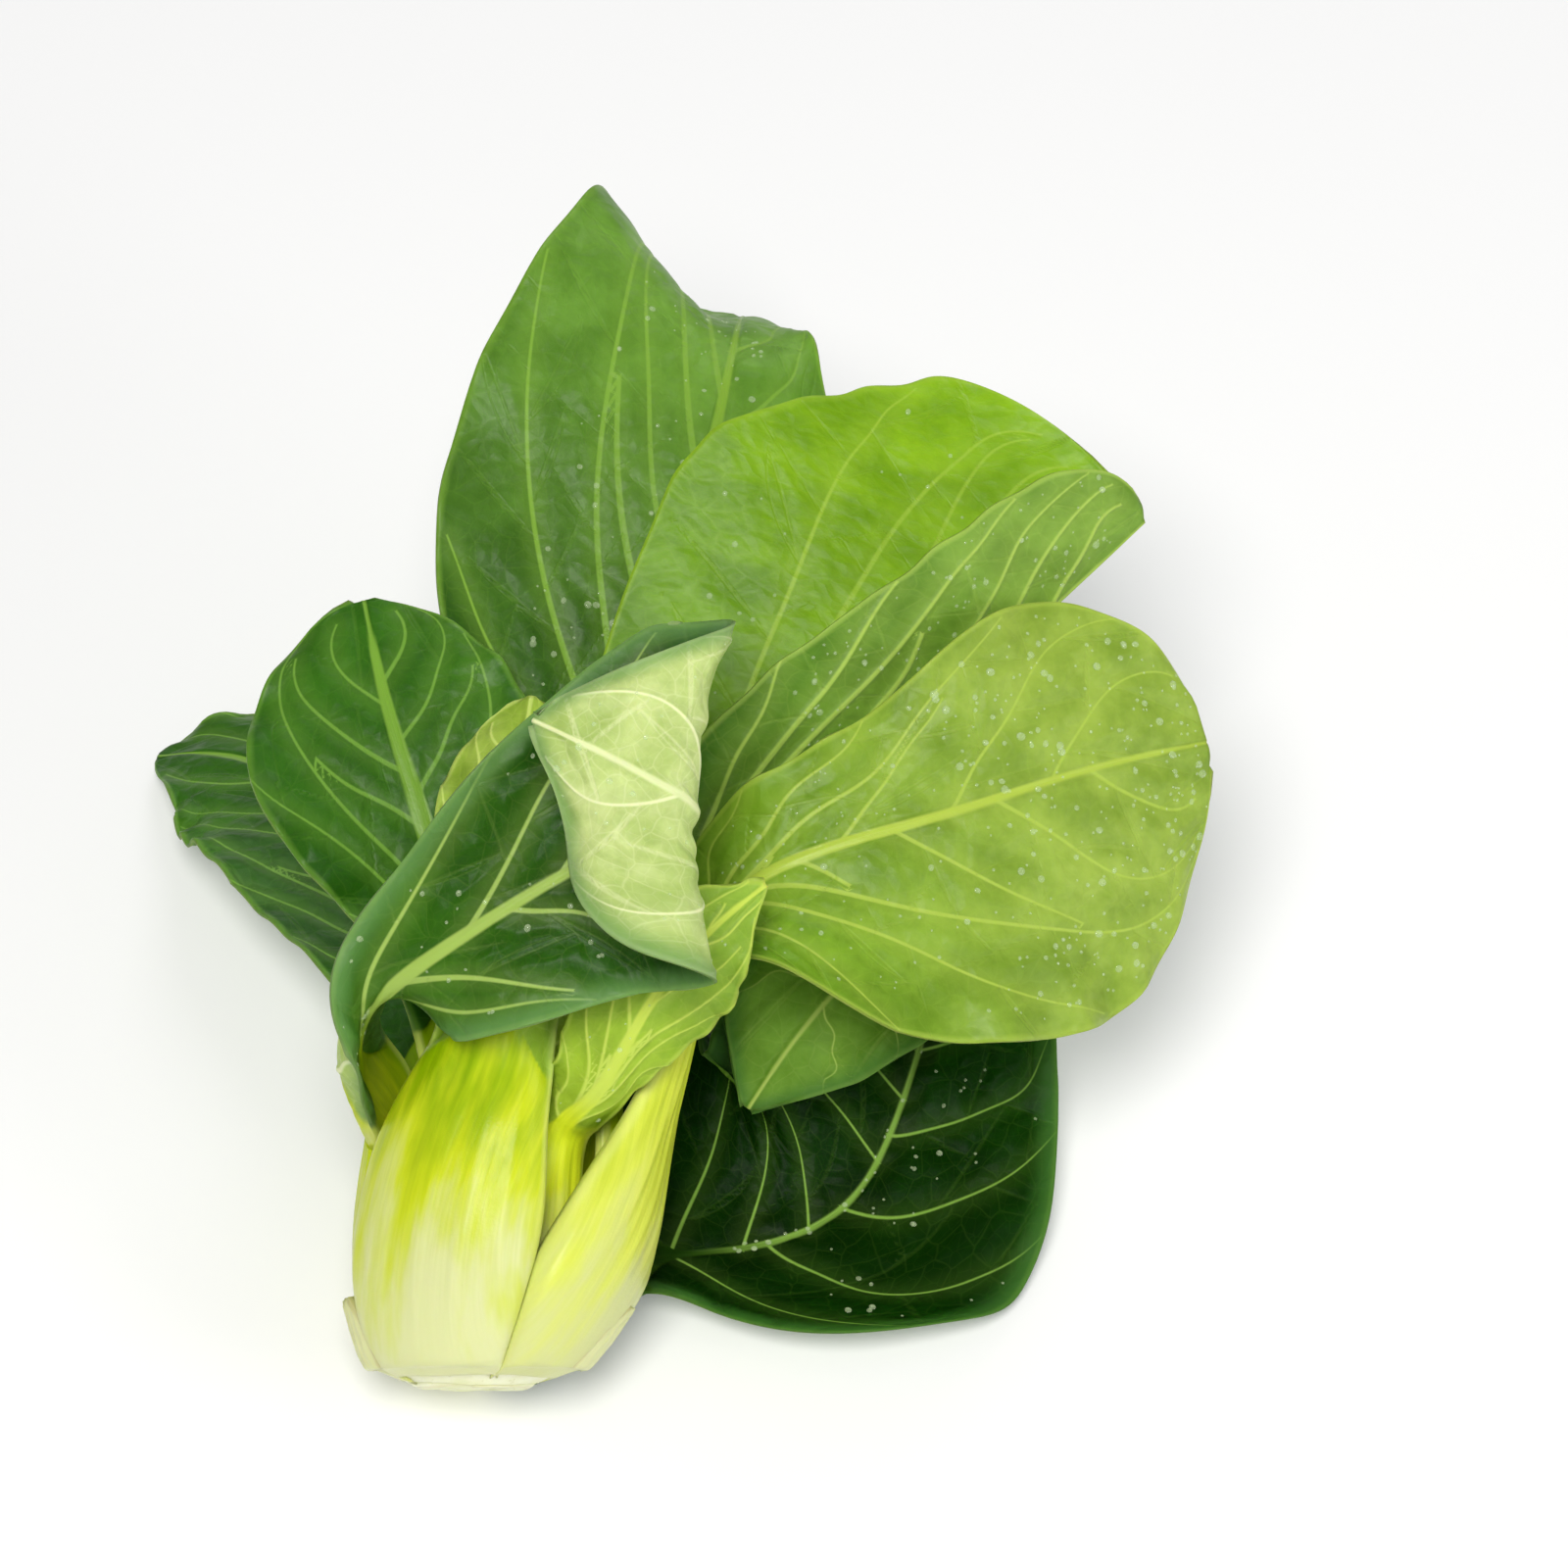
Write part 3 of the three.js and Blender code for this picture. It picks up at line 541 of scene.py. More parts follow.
class Nodes:
    """Adds and joins nodes in one tree, so that a finish reads as a list of steps."""

    def __init__(self, tree):
        self.tree = tree

    def add(self, kind, **values):
        node = self.tree.nodes.new(kind)
        for key, value in values.items():
            setattr(node, key, value)
        return node

    def put(self, value, socket):
        if isinstance(value, bpy.types.NodeSocket):
            self.tree.links.new(value, socket)
        else:
            socket.default_value = value

    def math(self, operation, a, b=0.0):
        node = self.add("ShaderNodeMath", operation=operation)
        self.put(a, node.inputs[0])
        self.put(b, node.inputs[1])
        return node.outputs[0]

    def times(self, a, b):
        return self.math("MULTIPLY", a, b)

    def mix(self, share, a, b, blend="MIX"):
        node = self.add("ShaderNodeMix", data_type="RGBA", blend_type=blend)
        self.put(share, node.inputs[0])
        self.put(a, node.inputs[6])
        self.put(b, node.inputs[7])
        return node.outputs[2]

    def between(self, share, a, b):
        node = self.add("ShaderNodeMix", data_type="FLOAT")
        self.put(share, node.inputs[0])
        self.put(a, node.inputs[2])
        self.put(b, node.inputs[3])
        return node.outputs[0]

    def ramp(self, value, low, high):
        node = self.add("ShaderNodeMapRange", interpolation_type="SMOOTHSTEP")
        self.put(value, node.inputs[0])
        node.inputs[1].default_value = low
        node.inputs[2].default_value = high
        return node.outputs[0]

    def stretched(self, vector, scale):
        node = self.add("ShaderNodeMapping")
        self.put(vector, node.inputs["Vector"])
        node.inputs["Scale"].default_value = scale
        return node.outputs[0]

    def noise(self, vector, scale, detail=3.0, roughness=0.55):
        node = self.add("ShaderNodeTexNoise")
        self.put(vector, node.inputs["Vector"])
        dial(node.inputs, {"Scale": scale, "Detail": detail, "Roughness": roughness})
        return node.outputs[0]

    def bump(self, height, strength, distance, skin):
        node = self.add("ShaderNodeBump")
        dial(node.inputs, {"Strength": strength, "Distance": distance})
        self.put(height, node.inputs["Height"])
        self.put(node.outputs[0], skin["Normal"])

    def attribute(self, name):
        node = self.add("ShaderNodeAttribute", attribute_name=name)
        return node.outputs["Vector" if name in ("flat", "lines", "twigs") else "Fac"]


def new_group(name, given, *made):
    """A node group that makes numbers from one vector."""
    tree = bpy.data.node_groups.new(name, "ShaderNodeTree")
    tree.interface.new_socket(given, in_out="INPUT", socket_type="NodeSocketVector")
    for label in made:
        tree.interface.new_socket(label, in_out="OUTPUT", socket_type="NodeSocketFloat")
    n = Nodes(tree)
    return tree, n, n.add("NodeGroupInput").outputs, n.add("NodeGroupOutput").inputs


def vein_net_group():
    """The finest veins: a net of closed cells of two sizes."""
    tree, n, given, out = new_group("vein_net", "Place", "Net", "Cushion")
    warp = n.add("ShaderNodeTexNoise")
    n.put(given["Place"], warp.inputs["Vector"])
    dial(warp.inputs, {"Scale": 14, "Detail": 2})
    bent = n.add("ShaderNodeVectorMath", operation="SCALE")
    n.put(warp.outputs["Color"], bent.inputs[0])
    bent.inputs["Scale"].default_value = 0.03
    moved = n.add("ShaderNodeVectorMath", operation="ADD")
    n.put(given["Place"], moved.inputs[0])
    n.put(bent.outputs[0], moved.inputs[1])
    masks = []
    for scale, line in ((26, 0.055), (62, 0.07)):
        cells = n.add("ShaderNodeTexVoronoi", feature="DISTANCE_TO_EDGE", voronoi_dimensions="2D")
        n.put(moved.outputs[0], cells.inputs["Vector"])
        cells.inputs["Scale"].default_value = scale
        edge = cells.outputs["Distance"]
        masks.append((n.math("SUBTRACT", 1.0, n.ramp(edge, 0.0, line)), edge))
    fine = n.times(masks[1][0], 0.5)
    n.put(n.math("MAXIMUM", masks[0][0], fine), out["Net"])
    n.put(n.ramp(masks[0][1], 0.0, 0.4), out["Cushion"])
    return tree


def streaks_group():
    """Fibres along a stalk, as long narrow streaks, and broader blotches of its tone."""
    tree, n, given, out = new_group("stalk_streaks", "Place", "Streaks", "Blotches")
    long_ones = n.noise(n.stretched(given["Place"], (1.6, 46, 1)), 3.0, 4.0, 0.6)
    n.put(n.ramp(long_ones, 0.35, 0.68), out["Streaks"])
    blotches = n.noise(n.stretched(given["Place"], (1, 4.5, 1)), 4.5, 3.0)
    n.put(n.ramp(blotches, 0.3, 0.7), out["Blotches"])
    return tree


def vein_line_group():
    """A vein from its field: millimetres to its side, millimetres away, and its width."""
    tree, n, given, out = new_group("vein_line", "Field", "Line", "Halo")
    split = n.add("ShaderNodeSeparateXYZ")
    n.put(given["Field"], split.inputs[0])
    half = n.times(split.outputs["Z"], 0.5)
    beside = n.math("ABSOLUTE", split.outputs["X"])
    beyond = n.math("SUBTRACT", split.outputs["Y"], beside)
    line = n.ramp(n.math("SUBTRACT", beside, half), 0.18, -0.16)
    n.put(n.times(line, n.ramp(beyond, 0.6, 0.4)), out["Line"])
    n.put(n.ramp(n.math("SUBTRACT", split.outputs["Y"], half), 3.6, 0.0), out["Halo"])
    return tree


VEIN_LINE = vein_line_group()
VEIN_NET = vein_net_group()
STREAKS = streaks_group()


def placed_group(n, tree, place):
    node = n.add("ShaderNodeGroup")
    node.node_tree = tree
    n.put(place, node.inputs[0])
    return node.outputs


def new_finish(name):
    material = bpy.data.materials.new(name)
    material.use_nodes = True
    tree = material.node_tree
    tree.nodes.clear()
    n = Nodes(tree)
    shader = n.add("ShaderNodeBsdfPrincipled")
    output = n.add("ShaderNodeOutputMaterial")
    n.put(shader.outputs[0], output.inputs["Surface"])
    return material, n, shader.inputs


def leaf_finish(name, upper, under, line, under_line, stalk=("DCE0A4", "CEDA20", "8EB002"), rim="E4EC8A",
                roll=None, net=0.07, under_net=0.09, sheen=0.05, glow=0.2):
    """Skin of a leaf: a fleshy pale stalk, then a veined blade.

    upper and under are each face's colours at the blade's foot and tip, and line and under_line its
    veins'; roll paints a sheen on a margin that rolls over, rim tints the stalk's margins, where a pale rim
    is painted light and a dark one painted shade, and net and glow say how much the fine veins show."""
    material, n, skin = new_finish(name)
    place = n.attribute("flat")
    blade, underside = n.attribute("blade"), n.attribute("under")
    rise, up, margin = n.attribute("rise"), n.attribute("up"), n.attribute("margin")
    net_out = placed_group(n, VEIN_NET, place)
    streak_out = placed_group(n, STREAKS, place)
    main = placed_group(n, VEIN_LINE, n.attribute("lines"))
    twig = placed_group(n, VEIN_LINE, n.attribute("twigs"))
    patches = n.ramp(n.noise(place, 9.0, 4.0), 0.32, 0.7)
    speckle = n.ramp(n.noise(place, 60.0, 3.0), 0.3, 0.7)
    # Vein halos are the leaf's own paler tone; the lighter band at the margins is painted light, standing
    # in for light through the thin edges.
    pale = n.math("MAXIMUM", n.times(main["Halo"], glow), n.times(margin, 0.55))

    def face(tones, code, strength):
        vein = colour(code)
        body = n.mix(n.ramp(up, 0.0, 0.8), colour(tones[0]), colour(tones[1]))
        body = n.mix(patches, n.mix(1.0, body, colour("CDD7B6"), "MULTIPLY"), body)
        body = n.mix(n.times(speckle, 0.25), body, n.mix(1.0, body, colour("D8E0C0"), "MULTIPLY"))
        body = n.mix(n.times(net_out["Net"], strength), body, vein)
        body = n.mix(pale, body, vein)
        body = n.mix(n.times(twig["Line"], 1.4 * strength), body, vein)
        return n.mix(n.times(main["Line"], 0.9), body, vein)

    sides = n.mix(underside, face(upper, line, net), face(under, under_line, under_net))
    # Painted sheen: a band along a margin that rolls over is tinted, standing in for the grey sheen where
    # the blade turns away from the light.
    if roll:
        sides = n.mix(n.times(n.attribute("rolled_sheen"), 0.75), sides, colour(roll))
    level = n.math("ADD", rise, n.times(n.math("SUBTRACT", streak_out["Blotches"], 0.5), 0.34))
    low = n.mix(n.ramp(level, 0.1, 0.6), colour(stalk[0]), colour(stalk[1]))
    body = n.mix(n.ramp(level, 0.5, 1.0), low, colour(stalk[2]))
    fibres = n.times(n.math("SUBTRACT", 1.0, streak_out["Streaks"]), n.ramp(rise, 0.0, 0.8))
    body = n.mix(fibres, body, n.mix(1.0, body, colour("EEF2DE"), "MULTIPLY"))
    # Painted light and shade: a pale rim lights the stalk's margin against the shade in the seams where
    # stalks overlap, and a dark rim shades it; the stub's brown rim is its dried cut edge.
    body = n.mix(n.times(margin, 0.45), body, colour(rim))
    rib_tone = n.mix(underside, colour(line), colour(under_line))
    body = n.mix(n.times(n.ramp(up, 0.0, 0.16), 0.85), body, rib_tone)
    n.put(n.mix(n.ramp(blade, 0.2, 0.8), body, sides), skin["Base Color"])

    wax = n.noise(place, 30.0, 3.0)
    dull = n.between(underside, 0.42, 0.5)
    rough = n.between(blade, 0.34, dull)
    n.put(n.math("ADD", rough, n.times(n.math("SUBTRACT", wax, 0.5), 0.25)), skin["Roughness"])
    dial(skin, {"Specular IOR Level": 3.2 * sheen, "Coat Weight": sheen, "Coat Roughness": 0.3,
                "Subsurface Weight": 0.2, "Subsurface Radius": (0.6, 1.0, 0.15), "Subsurface Scale": 0.003})

    grain = n.noise(place, 160.0, 3.0)
    pucker = n.noise(place, 13.0, 3.0)
    cushions = n.math("ADD", n.times(net_out["Cushion"], 0.35), n.times(pucker, 1.2))
    cushions = n.math("SUBTRACT", cushions, n.times(twig["Line"], 0.2))
    cushions = n.times(cushions, blade)
    on_stalk = n.times(streak_out["Streaks"], n.math("SUBTRACT", 1.0, blade))
    ribs = n.times(on_stalk, 0.05)
    height = n.math("ADD", n.math("ADD", cushions, ribs), n.times(grain, 0.12))
    n.bump(height, 0.7, 0.0005, skin)
    return material


def cut_finish():
    """The trimmed base: moist pale flesh, ringed where the stalks part, browned a little at the rim."""
    material, n, skin = new_finish("trimmed_base")
    place = n.attribute("flat")
    ring, browned = n.attribute("ring"), n.attribute("browned")
    patches = n.ramp(n.noise(place, 12.0, 4.0), 0.3, 0.7)
    body = n.mix(patches, colour("E4E8B0"), colour("F1F3D2"))
    body = n.mix(n.times(ring, 0.6), body, colour("C9CF86"))
    fibres = n.ramp(n.noise(place, 90.0, 2.0), 0.62, 0.72)
    body = n.mix(n.times(fibres, 0.4), body, colour("C4C47E"))
    body = n.mix(n.times(browned, 0.7), body, colour("B99A5C"))
    n.put(body, skin["Base Color"])
    n.put(n.between(patches, 0.38, 0.55), skin["Roughness"])
    dial(skin, {"Subsurface Weight": 0.25, "Subsurface Radius": (0.8, 1.0, 0.4), "Subsurface Scale": 0.003})
    n.bump(n.noise(place, 60.0, 4.0), 0.5, 0.0003, skin)
    return material


TRIMMED = cut_finish()

# ---- the leaves of the head ----
OUTER = dict(thickness=OUTER_STALK_THICKNESS)
INNER = dict(thickness=INNER_STALK_THICKNESS)
LEAVES = {  # rows round the bulb, then free rows, each as station takes it
    "front": dict(
        bulb=bulb_stations([-27, -27, -26, -24, -18], 0, [44.5, 44, 44.7, 42, 32],
                           [46, 46.8, 49.3, 46.5, 33], roll=0, out=0.8, flatness=0.8),
        free=[
            ([4, 54, 18], [0.1, 0, -1], [9, 9], [0, 0, 40, 40]),
            ([6, 71, 16], [0.1, 0, -1], [10, 12], [0, 0, 40, 40]),
            ([7, 87, 9], [0.1, 0.2, -1], [13, 15], [0, 0, 35, 35]),
            ([8, 102, 1], [0.1, 0.4, -1], [13, 15], [0, 0, 30, 30]),
            ([9, 109, -4], [0.1, 0.5, -1], [10, 11], [0, 0, 30, 30]),
        ], stalk_end=0.42, blade_start=0.55, tip=0.75, ruffle=(1.5, 4, 0), **OUTER),
    "left": dict(
        bulb=bulb_stations(-110, 0, [32, 32, 31, 28, 22], [26, 26, 26, 24, 20], roll=8),
        free=[
            ([-19, 50, 4], [1, 0.1, 0.3], [8, 8], [0, 0, 35, 35]),
            ([-16, 61, 19], [0.7, 0.2, 0.7], [9, 8], [0, 0, 25, 25]),
            ([-5, 69, 27], [0.2, 0.2, 0.95], [13, 15], [0, 0, 20, 20]),
            ([6, 76, 29], [0, 0.1, 1], [20, 19], [0, 0, 15, 15], [15, 0]),
            ([19, 84, 30], [0, 0, 1], [25, 22], [0, 0, 5, 5], [10, 0]),
            ([31, 88, 32], [-0.5, 0, 0.85], [30, 25]),
            ([37, 91, 40], [-1, 0, 0], [33, 26]),
            ([31, 95, 47], [-0.2, 0, -1], [29, 24], [0, 0, 22, 22]),
            ([22, 100, 48], [0.1, 0, -1], [18, 14], [0, 0, 35, 35]),
            ([11, 105, 46], [0.2, 0, -1], [7, 6], [0, 0, 35, 35]),
        ], stalk_end=0.28, blade_start=0.37, tip=0.9, ruffle=(1.5, 5, 1), **OUTER),
    "right": dict(
        bulb=bulb_stations([62, 62, 64, 70, 80], 0, [46, 46, 46, 42, 34], [47, 47, 45.5, 38.5, 29],
                           roll=2, out=0.7, flatness=0.8),
        free=[
            ([31, 54, -3], [-1, 0, 0.1], [8, 8], [0, 0, 40, 40]),
            ([34, 69, -3], [-0.9, 0.2, 0.4], [9, 8], [0, 0, 35, 35]),
            ([42, 80, 0], [-0.4, 0.4, 0.85], [13, 20], [0, 0, 25, 25]),
            ([57, 86, 1], [0, 0.2, 1], [15, 34], [0, 0, 15, 15]),
            ([77, 91, -2], [0.1, 0.1, 1], [22, 38], [0, 0, 5, -5]),
            ([97, 98, -8], [0.2, 0.1, 1], [35, 45], [0, 0, 0, -15]),
            ([117, 102, -20], [0.4, 0.1, 0.9], [32, 38], [0, 0, 0, -20]),
        ], stalk_end=0.34, blade_start=0.47, tip=0.7, tip_power=2.2, ruffle=(2, 5, 2), **OUTER),
    "under_right": dict(
        bulb=bulb_stations(140, 0, [27, 27, 27, 25, 22], [27, 27, 27, 25, 22], roll=3)[:3],
        free=[
            ([24, 19, -22], [-0.1, 0.55, 0.8], [34, 8], [10, 0, 30, 30]),
            ([36, 19, -26], [0, 0.64, 0.77], [51, 17], [12, 0, 24, 0]),
            ([50, 21, -27], [0, 0.64, 0.77], [45, 32], [18, 0, 32, 4]),
            ([61, 27, -31], [0.1, 0.6, 0.78], [34, 33], [20, 0, 40, 4]),
            ([67, 39, -36], [0.1, 0.6, 0.78], [36, 28], [20, 0, 40, 0]),
            ([72, 54, -41], [0, 0.6, 0.8], [33, 23], [10, 0, 30, -5]),
            ([74, 64, -38], [-0.3, -0.2, 0.93], [22, 19], [0, 0, 10, 0]),
            ([68, 70, -28], [-0.5, -0.75, 0.1], [21, 18]),
            ([59, 64, -21], [-0.2, -0.5, -0.8], [18, 16]),
            ([50, 54, -18], [0, 0.1, -1], [14, 12]),
            ([43, 43, -17], [0, 0.1, -1], [6, 5]),
        ], stalk_end=0.16, blade_start=0.26, tip=0.9, ruffle=(1.2, 5, 2), **OUTER),
    "under_left": dict(
        bulb=bulb_stations(197, 0, [26, 26, 26, 25, 23], [26, 26, 26, 25, 22], roll=3),
        free=[
            ([-5, 58, -36], [0.1, 0.6, 0.8], [16, 12], [0, 0, 25, 30]),
            ([-16, 78, -57], [0.1, 0.7, 0.7], [24, 19], [0, 0, 15, 20]),
            ([-30, 94, -80], [0, 0.8, 0.6], [27, 27], [0, 0, 10, 10]),
            ([-46, 101, -92], [-0.1, 0.9, 0.5], [27, 27]),
            ([-60, 100, -96], [-0.3, 0.9, 0.5], [21, 21]),
        ], stalk_end=0.32, blade_start=0.44, tip=0.7, ruffle=(1.5, 4, 2), **OUTER),
    "tall": dict(
        bulb=bulb_stations(163, 1, [32, 32, 32, 30, 28], [32, 32, 32, 30, 28]),
        free=[
            ([15, 60, -17], [0, 0, 1], [7, 7], [0, 0, 35, 35]),
            ([19, 83, -23], [0, 0, 1], [12, 10], [0, 0, 25, 25]),
            ([26, 108, -28], [0, 0.1, 1], [40, 23], [0, 0, 15, 5], [8, 0]),
            ([33, 134, -32], [0, 0.1, 1], [46, 27], [0, 0, 8, -5], [22, 0]),
            ([38, 154, -36], [0, 0.3, 1], [44, 25], [0, 0, 0, -20], [44, -8]),
            ([41, 171, -46], [0, 0.7, 0.7], [46, 20], [0, 0, 0, -30], [62, -30]),
            ([42, 174, -66], [0, 1, 0.2], [26, 20], [0, 0, 20, -20], [40, -30]),
        ], stalk_end=0.38, blade_start=0.48, tip=0.85, ruffle=(2, 4, 0), **INNER),
    "folded": dict(
        bulb=bulb_stations(98, 1, [31, 31, 31, 30, 28], [31, 31, 31, 30, 28]),
        free=[
            ([19, 53, -7], [-1, 0.1, 0.1], [7, 7], [0, 0, 35, 35]),
            ([24, 72, -9], [-1, 0.4, 0.1], [7, 7], [30, 20, 60, 50], [10, 10]),
            ([34, 86, -11], [-0.7, 0.7, 0.1], [32, 15], [62, 45, 82, 75], [30, 25]),
            ([50, 95, -12], [-0.55, 0.83, 0.1], [58, 20], [66, 50, 82, 82], [34, 33]),
            ([67, 105, -14], [-0.5, 0.85, 0.1], [56, 23], [68, 50, 84, 82], [34, 33]),
            ([86, 118, -18], [-0.6, 0.8, 0.1], [50, 23], [66, 50, 82, 82], [34, 33]),
            ([107, 138, -24], [-0.6, 0.8, 0.1], [34, 16], [62, 45, 76, 72], [30, 30]),
        ], stalk_end=0.4, blade_start=0.5, tip=0.9, tip_power=2.4, ruffle=(0.5, 3, 1), **INNER),
    "inner_right": dict(
        bulb=bulb_stations([32, 32, 30, 26, 22], 1, [31, 31, 31, 28, 24], [42, 42, 40, 36, 28]),
        free=[
            ([18.3, 46, 12.4], [-0.4, 0, -0.9], [7, 8], [0, 0, 35, 35]),
            ([23.8, 55, 16.8], [-0.4, 0.1, -0.9], [8, 9], [0, 0, 20, 30]),
            ([29, 64, 20], [-0.3, 0.2, -0.9], [14, 13], [0, 0, 10, 20]),
            ([37, 73, 21], [-0.2, 0.3, -0.9], [14, 12], [0, 0, 0, 10]),
            ([46, 80, 19], [-0.1, 0.4, -0.9], [8, 7], [0, 0, 0, 10]),
        ], stalk_end=0.36, blade_start=0.48, tip=0.72, tip_power=1.5, ruffle=(1.5, 4, 1), thickness=4.6),
    "inner_left": dict(
        bulb=bulb_stations(233, 1, [34, 34, 34, 32, 28], [32, 32, 32, 30, 26], out=-0.8),
        free=[
            ([-1, 53, -8], [0.3, 0, 1], [8, 8], [0, 0, 40, 40]),
            ([-4, 74, -10], [0.3, 0, 1], [14, 12], [0, 0, 30, 30]),
            ([-9, 91, -10], [0.2, 0.1, 1], [24, 20], [0, 0, 20, 20]),
            ([-15, 108, -14], [0.1, 0.1, 1], [26, 24], [0, 0, 0, 10]),
            ([-19, 125, -24], [0, 0.6, 0.8], [22, 20], [0, 0, -20, -10]),
        ], stalk_end=0.42, blade_start=0.5, tip=0.75, ruffle=(1.5, 4, 1), **INNER),
    "heart": dict(
        bulb=bulb_stations(-50, 1, [38, 38, 38, 36, 32], [36, 36, 36, 34, 30], out=-0.4),
        free=[
            ([10, 54, 6], [0.1, 0, -1], [7, 7], [0, 0, 40, 40]),
            ([13, 70, 6], [0.1, 0, -1], [10, 10], [0, 0, 40, 40]),
            ([16, 86, 3], [0.1, 0.2, -1], [11, 11], [0, 0, 40, 40]),
            ([17, 95, -4], [0.1, 0.3, -1], [8, 8], [0, 0, 40, 40]),
        ], stalk_end=0.42, blade_start=0.5, tip=0.7, ruffle=(1, 4, 1), thickness=4.5),
}
# Partly the young stalks' own vivid tone, partly painted light: brightened to make up for the shade that
# falls inside the V between the outer stalks.
INNER_STALK = ("E6EAA6", "E4EE30", "D2E222")
SKIN_TONES = {  # upper face, underside, their veins, and the rest
    "front": ((("5C9414", "6E9A20"), ("8EB02C", "9CB840"), "A8C84C", "C4D870"), {}),
    # Painted shadow: the upper face darkens towards the tip, where the flap folded over it shades it; roll
    # is a painted grey-green sheen on the rolled margin.
    "left": ((("3C7210", "143C04"), ("AAC852", "CADC8E"), "A4C060", "E6EEB6"),
             dict(roll="648E4E", net=0.05, under_net=0.22, sheen=0.035, glow=0.12)),
    # Painted sheen: the upper face grows lighter towards the tip, standing in for the sheen of the wet film
    # there.
    "right": ((("729C1C", "9CB44A"), ("80A42C", "94AE44"), "A8C04C", "C0D066"),
              dict(stalk=("D4D992", "DBE456", "CCD838"))),
    # Painted shade: this leaf lies low under the head, so its upper face is near black, its stalk dark
    # olive and its stalk margins dark, standing in for the shade it lies in; its roll is a painted sheen on
    # the rolled margin.
    "under_right": ((("0A2803", "123604"), ("557F22", "6F9636"), "86AE4A", "A4BC5C"),
                    dict(stalk=("4A6A1A", "1C3A0A", "123606"), rim="2C5412", roll="3E6A2C",
                         sheen=0.012, net=0.03, glow=0.05)),
    "under_left": ((("2C5C10", "34680F"), ("4C7A1C", "58842A"), "7CA844", "9CBC5A"), {}),
    # Painted sheen: the upper face grows lighter from its dark foot towards the tip.
    "tall": ((("254F08", "74A03C"), ("5C8A20", "6E9638"), "80A83C", "A8C468"), {}),
    "folded": ((("709E04", "8CB618"), ("4E7C18", "7CA23C"), "98BA38", "A8C458"), {}),
    "inner_right": ((("90B018", "84AC24"), ("9CBC24", "86AE34"), "B4CC44", "BED258"),
                    dict(stalk=INNER_STALK)),
    "inner_left": ((("2A5A10", "34680F"), ("4C7A1C", "58842A"), "74A03C", "9CBC5A"), {}),
    "heart": ((("86AE20", "8CB42C"), ("A8C42C", "92B83C"), "C0D458", "D0DC70"), dict(stalk=INNER_STALK)),
    "stub": ((("C8CE6A", "B8BE6A"), ("C8CE6A", "B8BE6A"), "D8DC9A", "D8DC9A"),
             dict(stalk=("DEE2A4", "CBD480", "A8B45C"), rim="A08C4C")),
}
FINISHES = {name: leaf_finish(f"{name}_skin", *codes, **rest) for name, (codes, rest) in SKIN_TONES.items()}
LOOKS = {
    "front": dict(fine=0.7, veins=dict(count=4)),
    "left": dict(fine=0.58, veins=dict(count=4, basal=2), quilting=0.9, rib=0.5),
    "right": dict(fine=0.58, veins=dict(count=4, lean=0.9, thick=0.85), quilting=0.6, rib=0.4),
    "under_right": dict(fine=0.62, veins=dict(count=7, basal=1, lean=0.5, thick=0.5),
                        quilting=0.6, rib=0.14),
    "under_left": dict(fine=0.7, veins=dict(count=5)),
    "tall": dict(fine=0.6, veins=dict(count=5, lean=1.2, thick=1.3), rib=0.9),
    "folded": dict(fine=0.58, veins=dict(count=5, lean=1.5, splay=(1.0, 2.6)), quilting=0.25, rib=0.6),
    "inner_right": dict(fine=0.6, slot="young_blade", rib=0.45,
                        veins=dict(count=4, basal=4, lean=2, splay=(1.2, 4), thick=0.6)),
    "inner_left": dict(fine=0.7, veins=dict(count=5)),
    "heart": dict(fine=0.8, slot="young_blade", veins=dict(count=4)),
}
sheets = {}
for number, (name, spec) in enumerate(LEAVES.items()):
    rows = spec.pop("bulb") + [station(*row) for row in spec.pop("free")]
    looks = {"slot": "blade", **LOOKS[name]}
    leaf_piece(name, Leaf(rows, **spec, seed=number), FINISHES[name], keep=sheets, **looks)

# ---- the butt and the cut-off feet of two old leaves ----
OUTER_STALKS = [-27, -110, 62, 140, 197]  # azimuths


